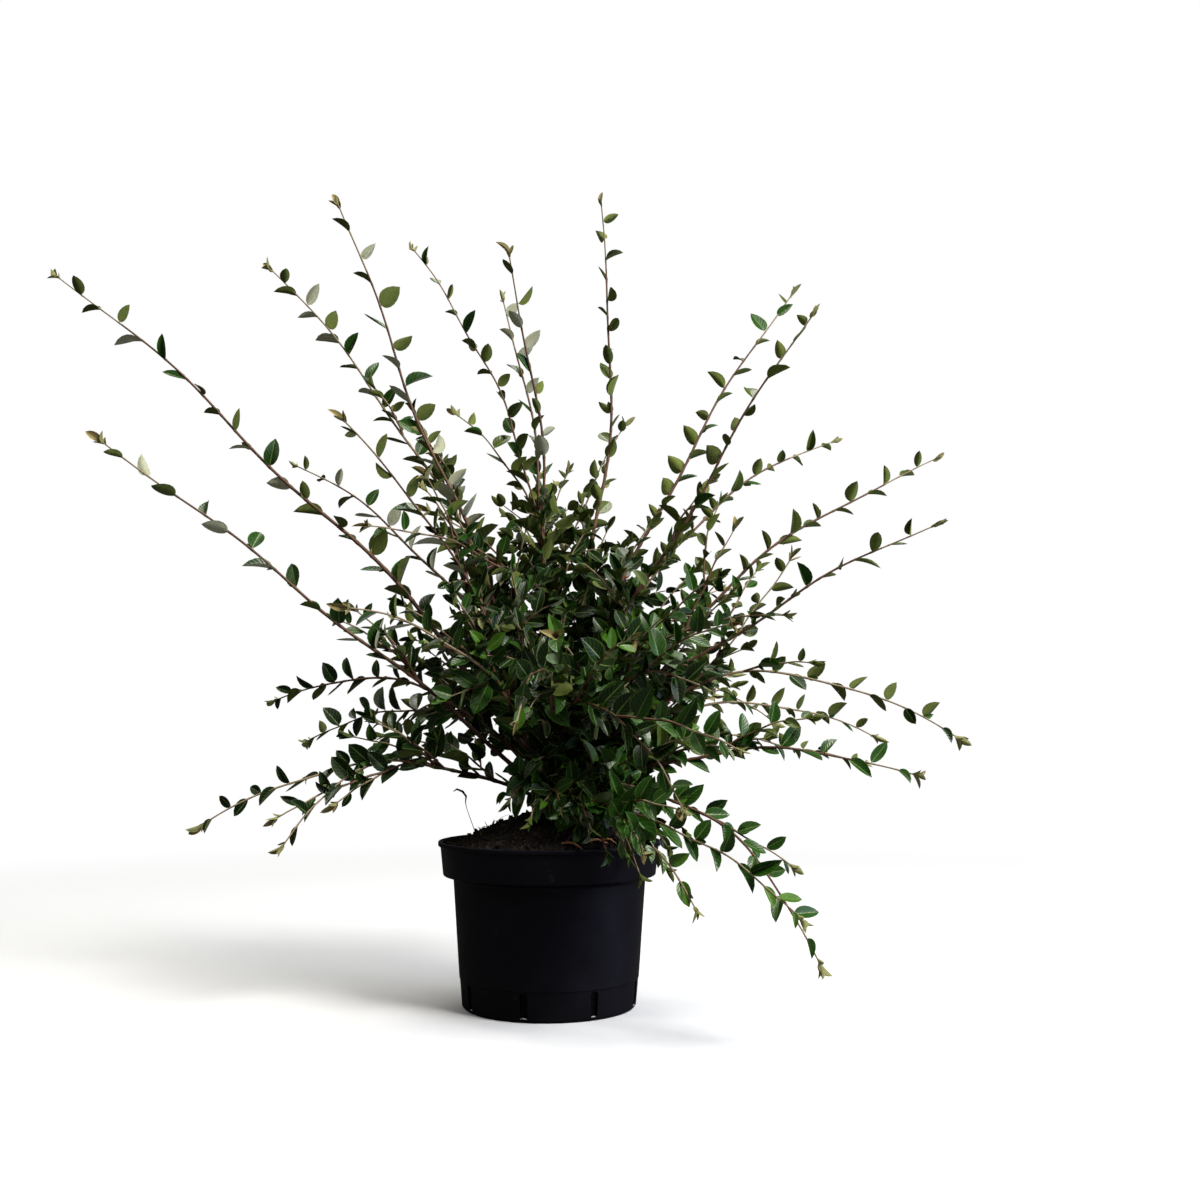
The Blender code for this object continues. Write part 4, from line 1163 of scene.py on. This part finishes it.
def make_leaves(shrub):
    """The leaves of each tint, with their own finishes of the upper side, underside and midrib."""
    tree = leaf_tree()
    cuts = leaf_cuts()
    # Undersides: the dark olive felt is partly painted shade and the pale silvery felt partly painted light,
    # shaded and lit copies of one felt
    felt = leaf_felt("olive_felted_underside", "#3e4a12", "#5c6a26")
    shoot_felt = leaf_felt("green_felted_underside", "#54631f", "#718036")
    silver_felt_and_painted_light = leaf_felt("silvery_felted_underside", "#8f9477", "#bcbfa4")
    young_felt = leaf_felt("young_felted_underside", "#6f7440", "#9a9a66")
    midrib = leaf_upper("pale_midrib", "#587338", "#7d9652")
    finishes = {
        # Besides their own colours, deep green stands in as painted shade inside the crown, and olive and mid
        # green as painted light on the right
        "deep": (leaf_upper("dark_leathery_leaf", "#061803", "#122c07"), felt, midrib),
        "mid": (leaf_upper("mid_green_leaf", "#153708", "#285410"), felt, midrib),
        "olive": (leaf_upper("olive_shoot_leaf", "#3a4818", "#526026"), shoot_felt, midrib),
        "silver": (leaf_upper("felted_shoot_leaf", "#122f07", "#22480f"), silver_felt_and_painted_light, midrib),
        "fresh": (leaf_upper("fresh_green_leaf", "#2b560b", "#4f7c1c"), young_felt, midrib),
        "downy": (leaf_felt("downy_tip_leaf", "#7c7040", "#a2925f"), young_felt, young_felt),
        "dead": (leaf_felt("dead_orange_leaf", "#7a3c14", "#a85a26"), young_felt, young_felt),
    }
    for tint, (upper, under, rib) in finishes.items():
        leaves = [leaf for leaf in shrub.leaves if leaf.tint == tint]
        values = {"Cuts": cuts, "Upper": upper, "Underside": under, "Midrib": rib}
        for number, first in enumerate(range(0, len(leaves), LEAVES_PER_PIECE)):
            points = leaf_points_mesh(tint, leaves[first:first + LEAVES_PER_PIECE])
            keep(made_by(tree, f"{tint}_leaves_{number + 1}", points, values), "foliage",
                 *nodes_named("leaves_"))
    for thing in list(cuts.objects):
        bpy.data.objects.remove(thing)


# Pot and compost

def turned(name, profile, steps):
    """A closed mesh turned about Z from a profile of (radius, height)."""
    form = bmesh.new()
    verts = [form.verts.new((radius, 0.0, height)) for radius, height in profile]
    edges = [form.edges.new(pair) for pair in zip(verts, verts[1:])]
    bmesh.ops.spin(form, geom=verts + edges, axis=(0, 0, 1), cent=(0, 0, 0), steps=steps, angle=math.tau)
    bmesh.ops.remove_doubles(form, verts=form.verts, dist=0.01 * MM)
    bmesh.ops.recalc_face_normals(form, faces=form.faces)
    for face in form.faces:
        face.smooth = True
    return mesh_of(form, name)


def rounded(corners, radius, steps=4):
    """A profile whose inner corners are rounded off by short bows."""
    corners = [np.array(corner) for corner in corners]
    points = [corners[0]]
    for before, corner, after in zip(corners, corners[1:], corners[2:]):
        reach = min(radius, np.linalg.norm(before - corner) * 0.45, np.linalg.norm(after - corner) * 0.45)
        start = corner + unit(before - corner) * reach
        end = corner + unit(after - corner) * reach
        for share in np.linspace(0.0, 1.0, steps):
            points.append((1 - share) ** 2 * start + 2 * share * (1 - share) * corner + share ** 2 * end)
    points.append(corners[-1])
    return [tuple(p) for p in points]


def body_radius(height):
    return BODY_FOOT_RADIUS + (BODY_TOP_RADIUS - BODY_FOOT_RADIUS) * height / STEP_FOOT


def runs_along_x(edge):
    span = edge.verts[0].co - edge.verts[1].co
    return abs(span.y) < 1e-6 and abs(span.z) < 1e-6


def slot_cutters():
    """Eight upright blocks with round tops, at the drain slots round the foot."""
    form = bmesh.new()
    for i in range(SLOT_COUNT):
        before = set(form.verts)
        bmesh.ops.create_cube(form, size=1.0)
        block = [v for v in form.verts if v not in before]
        bmesh.ops.scale(form, verts=block, vec=(SLOT_CUT, SLOT_WIDTH, SLOT_TOP - SLOT_FOOT))
        edges = [e for e in form.edges if e.verts[0] in block and e.verts[0].co.z > 0 and runs_along_x(e)]
        bmesh.ops.bevel(form, geom=edges, offset=SLOT_WIDTH * 0.35, segments=4, affect="EDGES", profile=0.5)
        block = [v for v in form.verts if v not in before]
        turn = Matrix.Rotation(SLOT_TURN + i * math.tau / SLOT_COUNT, 4, "Z")
        out = Matrix.Translation((BODY_FOOT_RADIUS, 0.0, (SLOT_TOP + SLOT_FOOT) / 2))
        bmesh.ops.transform(form, matrix=turn @ out, verts=block)
    return new_object("slot_cutters", mesh_of(form, "slot_cutters"))


def make_pot():
    ring = body_radius(RING_HEIGHT)
    corners = [
        (0.0, FLOOR),
        (BODY_FOOT_RADIUS - WALL, FLOOR),
        (BODY_TOP_RADIUS - WALL, STEP_FOOT),
        (COLLAR_FOOT_RADIUS - WALL, COLLAR_FOOT),
        (COLLAR_TOP_RADIUS - WALL, POT_HEIGHT),
        (LIP_RADIUS, POT_HEIGHT),
        (LIP_RADIUS, POT_HEIGHT - LIP_DEPTH),
        (COLLAR_TOP_RADIUS, POT_HEIGHT - LIP_DEPTH - EDGE_ROUND),
        (COLLAR_FOOT_RADIUS, COLLAR_FOOT),
        (BODY_TOP_RADIUS + 0.5 * MM, STEP_FOOT),
        (BODY_TOP_RADIUS - 0.3 * MM, STEP_FOOT - 1.5 * MM),
        (ring + RING_STEP, RING_HEIGHT + EDGE_ROUND),
        (ring + RING_STEP, RING_HEIGHT),
        (ring, RING_HEIGHT - EDGE_ROUND),
        (BODY_FOOT_RADIUS, FOOT_ROUND),
        (BODY_FOOT_RADIUS - FOOT_ROUND, 0.0),
        (0.0, 0.0),
    ]
    pot = new_object("pot_start", turned("pot_start", rounded(corners, EDGE_ROUND), POT_STEPS))
    cutters = slot_cutters()
    cut = pot.modifiers.new("slots", "BOOLEAN")
    cut.operation = "DIFFERENCE"
    cut.object = cutters
    shapes = bpy.context.evaluated_depsgraph_get()
    mesh = bpy.data.meshes.new_from_object(pot.evaluated_get(shapes))
    mesh.name = "nursery_pot"
    mesh.set_sharp_from_angle(angle=SHARP_EDGE)
    for thing in (pot, cutters):
        bpy.data.objects.remove(thing)
    mesh.materials.clear()
    mesh.materials.append(pot_plastic())
    keep(new_object("nursery_pot", mesh), "pot", "pot")


def lump(name, seed, stretch):
    """A small angular lump, about a unit across, of a few faces."""
    rng = random.Random(seed)
    form = bmesh.new()
    bmesh.ops.create_icosphere(form, subdivisions=1, radius=0.5)
    for vert in form.verts:
        vert.co *= rng.uniform(0.65, 1.25)
        vert.co *= Vector(stretch)
    return bpy.data.objects.new(name, mesh_of(form, name))


def blade(name, bends, width, bow):
    """A thin bent blade or straw, a unit long, three-sided."""
    form = bmesh.new()
    rings = []
    for i in range(bends + 1):
        share = i / bends
        half = width * (1 - 0.7 * share)
        z = bow * math.sin(math.pi * share)
        rings.append([form.verts.new(spot) for spot in ((share, half, z), (share, -half, z),
                                                        (share, 0.0, z + half))])
    for a, b in zip(rings, rings[1:]):
        for k in range(3):
            form.faces.new((a[k], a[(k + 1) % 3], b[(k + 1) % 3], b[k]))
    form.faces.new(rings[0])
    form.faces.new(rings[-1])
    bmesh.ops.recalc_face_normals(form, faces=form.faces)
    return bpy.data.objects.new(name, mesh_of(form, name))


def mound_patch(name, first, last, inner, out, rings=12, steps=48):
    """The mound's open surface between two azimuths, to strew things on."""
    edge = (COLLAR_TOP_RADIUS - WALL - 2 * MM) * out
    points, faces = [], []
    for i in range(rings + 1):
        radius = inner + (edge - inner) * i / rings
        for k in range(steps + 1):
            angle = math.radians(first + (last - first) * k / steps)
            points.append((radius * math.cos(angle), radius * math.sin(angle), mound_height(radius)))
    for i in range(rings):
        for k in range(steps):
            a = i * (steps + 1) + k
            faces.append((a, a + steps + 1, a + steps + 2, a + 1))
    mesh = bpy.data.meshes.new(name)
    mesh.from_pydata(points, [], faces)
    return mesh


def make_compost():
    edge = COLLAR_TOP_RADIUS - WALL - GAP
    rise = (MOUND_EDGE - COLLAR_FOOT) / COLLAR_DEPTH
    wall = COLLAR_FOOT_RADIUS + (COLLAR_TOP_RADIUS - COLLAR_FOOT_RADIUS) * rise - WALL - 2 * GAP
    profile = [(0.0, MOUND_TOP)]
    for i in range(1, MOUND_RINGS + 1):
        radius = edge * i / MOUND_RINGS
        profile.append((min(radius, wall), mound_height(radius)))
    profile += [(COLLAR_FOOT_RADIUS - WALL - 2 * GAP, COLLAR_FOOT + GAP),
                (BODY_TOP_RADIUS - WALL - 2 * GAP, STEP_FOOT),
                (BODY_FOOT_RADIUS - WALL - 2 * GAP, FLOOR + GAP),
                (0.0, FLOOR + GAP)]
    bed = turned("compost_bed", profile, MOUND_STEPS)
    values = {"Lump": 11 * MM, "Rise": 13 * MM, "Above": MOUND_EDGE + 1 * MM, "Finish": compost_soil()}
    keep(made_by(crumble_tree(), "compost_bed", bed, values), "compost", "compost")
    strew_compost()


def strew_compost():
    """Bark chips, crumbs, straw, moss, seedlings and a few white grains on the mound."""
    tree = scatter_tree()
    chip_dark, chip_light, chip_red, straw, moss, grain, dry = [
        fibrous(name, dark, light, fibre * MM, roughness) for name, dark, light, fibre, roughness in (
            ("dark_bark_chip", "#110706", "#2a150d", 1.5, 0.85),
            ("weathered_bark_chip", "#38251a", "#62442c", 1.5, 0.8),
            ("red_bark_chip", "#6a2e1a", "#a8563a", 1.5, 0.8),
            ("orange_straw", "#a86c3e", "#dca672", 1.0, 0.7),
            ("moss", "#2c3a14", "#5c6b28", 0.8, 0.9),
            ("white_grain", "#b8b4a8", "#e2dfd6", 0.8, 0.9),
            ("dry_weed_stalk", "#241a13", "#4a3826", 1.0, 0.8))]
    # Patches of the mound: from azimuth, to azimuth, inner radius, and share of the outer radius
    all_round = (0.0, 360.0, 0.0, 1.0)
    left_front = (150.0, 262.0, 45 * MM, 0.97)
    right_front = (238.0, 380.0, 0.0, 1.0)
    # Name, shape, finish, bits per square metre, smallest and largest in millimetres, tilt, patch
    plans = (
        ("peat_crumbs", lump("crumb", 3, (1, 1, 0.8)), chip_dark, 50000, 1.5, 5.0, 3.0, all_round),
        ("dark_bark_chips", lump("flake", 4, (1, 0.6, 0.3)), chip_dark, 20000, 5.0, 13.0, 1.5, all_round),
        ("weathered_chips", lump("chip", 5, (1, 0.5, 0.25)), chip_light, 4200, 2.5, 7.0, 0.7, right_front),
        ("red_chips", lump("red_flake", 6, (1, 0.45, 0.25)), chip_red, 5200, 2.5, 8.0, 0.9, right_front),
        ("straw_bits", blade("straw", 4, 0.035, 0.12), straw, 500, 7.0, 20.0, 0.35, all_round),
        ("moss_leaves", blade("moss_leaf", 2, 0.16, 0.1), moss, 22000, 1.6, 3.6, 1.2, left_front),
        ("white_grains", lump("grain", 8, (1, 1, 0.9)), grain, 250, 1.2, 2.6, 3.0, all_round),
    )
    for seed, (name, shape, finish, density, small, large, tilt, patch) in enumerate(plans):
        values = {"Shape": shape, "Density": float(density), "Seed": seed, "Smallest": small * MM,
                  "Largest": large * MM, "Tilt": tilt, "Finish": finish}
        keep(made_by(tree, name, mound_patch(name, *patch), values), "compost")
        bpy.data.objects.remove(shape)
    stalks = stem_tree()
    keep_stems(stalks, "fallen_straws", straw_lines(), "compost", (), 6, 0.3, 2.0, straw)
    make_slot_grit(grain)
    keep_stems(stalks, "dry_weed_stalk", [weed_line()], "compost", (), 6, 0.1, 1.5, dry)
    keep_stems(stalks, "seedlings", seedling_lines(), "compost", (), 5, 0.0, 1.5, moss)


def make_slot_grit(grain):
    """Pale grit that has washed down to the sill of each drain slot."""
    rng = random.Random(SEED)
    form = bmesh.new()
    for i in range(SLOT_COUNT * GRIT_PER_SLOT):
        size = rng.uniform(*GRIT_SIZE)
        turn = SLOT_TURN + i // GRIT_PER_SLOT * math.tau / SLOT_COUNT + rng.uniform(-GRIT_SPREAD, GRIT_SPREAD)
        radius = BODY_FOOT_RADIUS - rng.uniform(0.2, 1.2) * MM
        place = Matrix.Translation((radius * math.cos(turn), radius * math.sin(turn), SLOT_FOOT + size * 0.3))
        shape = Matrix.Diagonal((size, size * 0.8, size * 0.7, 1.0))
        bmesh.ops.create_icosphere(form, subdivisions=1, radius=0.5, matrix=place @ shape)
    mesh = mesh_of(form, "slot_grit")
    mesh.materials.append(grain)
    keep(new_object("slot_grit", mesh), "compost")


def straw_lines():
    """Three dead stalks that lie on the compost in front of the stem."""
    lines = []
    for x, y, turn, length in ((30, -64, 28, 21), (12, -70, -12, 17), (44, -52, 8, 13)):
        heading = outward(turn)
        line = []
        for share in (0.0, 0.3, 0.6, 1.0):
            point = np.array([x, y, 0.0]) * MM + heading * length * MM * share
            lift = (2.2 + 2.5 * math.sin(math.pi * share)) * MM
            point[2] = mound_height(math.hypot(point[0], point[1])) + lift
            line.append(point)
        lines.append((np.array(line), np.array([0.9, 1.2, 1.0, 0.6]) * MM))
    return lines


def weed_line():
    """A dry stalk with a curled tip, at the left of the mound."""
    foot = np.array([-62 * MM, -10 * MM, mound_height(63 * MM) - 1 * MM])
    bends = ((0, 0), (-3, 9), (-6, 17), (-8.5, 24), (-9.5, 29), (-9, 34), (-12, 38), (-17, 40), (-20, 38))
    line = np.array([foot + np.array([x, 0, z]) * MM for x, z in bends])
    return line, np.array([0.35, 0.32, 0.3, 0.3, 0.45, 0.9, 1.1, 0.9, 0.3]) * MM


def seedling_lines():
    """A few seedlings at the left of the mound, each of four thin leaves."""
    rng = random.Random(SEED)
    lines = []
    for x, y, height in ((-55, -30, 9), (-50, -16, 12), (-46, -8, 7), (-58, -4, 8), (-38, -22, 6)):
        start = np.array([x * MM, y * MM, mound_height(math.hypot(x, y) * MM) - 1 * MM])
        for _ in range(4):
            lean = np.array([rng.uniform(-0.6, 0.6), rng.uniform(-0.6, 0.6), 1.0])
            line = np.array([start + unit(lean) * height * MM * s + np.array([0, 0, -1.2 * MM]) * s * s
                             for s in (0.0, 0.35, 0.7, 1.0)])
            lines.append((line, np.array([0.35, 0.4, 0.35, 0.12]) * MM))
    return lines


# Studio

def make_floor():
    """A pale paper floor that fades to white far out. It mirrors darker than it looks."""
    mesh = bpy.data.meshes.new("floor")
    half = 12.0
    mesh.from_pydata([(-half, -half, 0), (half, -half, 0), (half, half, 0), (-half, half, 0)], [],
                     [(0, 1, 2, 3)])
    floor = new_object("floor", mesh)
    pale, tree, place = new_material("pale_studio_floor")
    away = add_node(tree, "ShaderNodeVectorMath", {"Vector": place}, operation="LENGTH").outputs["Value"]
    far = add_node(tree, "ShaderNodeMapRange", {"Value": away, "From Min": 0.5, "From Max": 1.6},
                   interpolation_type="SMOOTHSTEP")
    ray = add_node(tree, "ShaderNodeLightPath").outputs
    seen = ray["Is Camera Ray"]
    mirrored = ray["Is Glossy Ray"]
    bounced = add_node(tree, "ShaderNodeMix", {"Factor": mirrored, "A": "#808080", "B": "#4a4a4a"},
                       data_type="RGBA")
    tone = add_node(tree, "ShaderNodeMix", {"Factor": seen, "A": bounced, "B": "#f3f6fb"}, data_type="RGBA")
    paper = add_node(tree, "ShaderNodeBsdfDiffuse", {"Color": tone})
    glow = add_node(tree, "ShaderNodeEmission", {"Color": "#ffffff", "Strength": seen})
    fade = add_node(tree, "ShaderNodeMixShader", {"Fac": far, 1: paper, 2: glow})
    add_node(tree, "ShaderNodeOutputMaterial", {"Surface": fade})
    mesh.materials.append(pale)


def make_studio():
    """A pale floor, a white surround and four soft lights, the brightest from the front right."""
    make_floor()
    world = bpy.data.worlds.new("white_surround")
    bpy.context.scene.world = world
    world.use_nodes = True
    tree = world.node_tree
    tree.nodes.clear()
    seen = add_node(tree, "ShaderNodeLightPath").outputs["Is Camera Ray"]
    strength = add_node(tree, "ShaderNodeMapRange", {"Value": seen, "To Min": 0.06, "To Max": 1.0})
    glow = add_node(tree, "ShaderNodeBackground", {"Color": "#ffffff", "Strength": strength})
    add_node(tree, "ShaderNodeOutputWorld", {"Surface": glow})

    target = Vector((0.0, 0.0, 0.33))
    # Name, place and diameter in metres, watts, colour
    lights = (("key", (1.5, -1.25, 2.1), 1.0, 92.0, "#fffbf3"),
              ("fill", (-1.6, -0.9, 1.9), 1.2, 9.0, "#fff8ee"),
              ("top", (-0.1, 0.5, 2.4), 1.2, 34.0, "#fffbf0"),
              ("side", (1.7, -0.35, 0.45), 1.5, 20.0, "#d0dafa"))
    for name, place, size, power, colour in lights:
        light = bpy.data.lights.new(name, "AREA")
        light.shape = "DISK"
        light.size = size
        light.energy = power
        light.color = linear(colour)[:3]
        lamp = new_object(name, light)
        lamp.location = place
        lamp.rotation_euler = (target - Vector(place)).to_track_quat("-Z", "Y").to_euler()


def make_camera():
    lens = bpy.data.cameras.new("camera")
    lens.lens = LENS_MM
    lens.sensor_width = SENSOR_MM
    lens.clip_start = 0.05
    camera = new_object("camera", lens)
    camera.location = CAMERA_PLACE
    camera.rotation_euler = (math.radians(90) + CAMERA_PITCH, 0.0, 0.0)
    bpy.context.scene.camera = camera
    bpy.context.scene.view_settings.view_transform = "Standard"


def main():
    make_camera()
    make_studio()
    make_pot()
    make_compost()
    shrub = Shrub()
    for owner, shoot in enumerate(SHOOTS):
        shrub.grow_shoot(owner, shoot)
    shrub.grow_low_sprays()
    make_stems(shrub)
    make_leaves(shrub)


main()
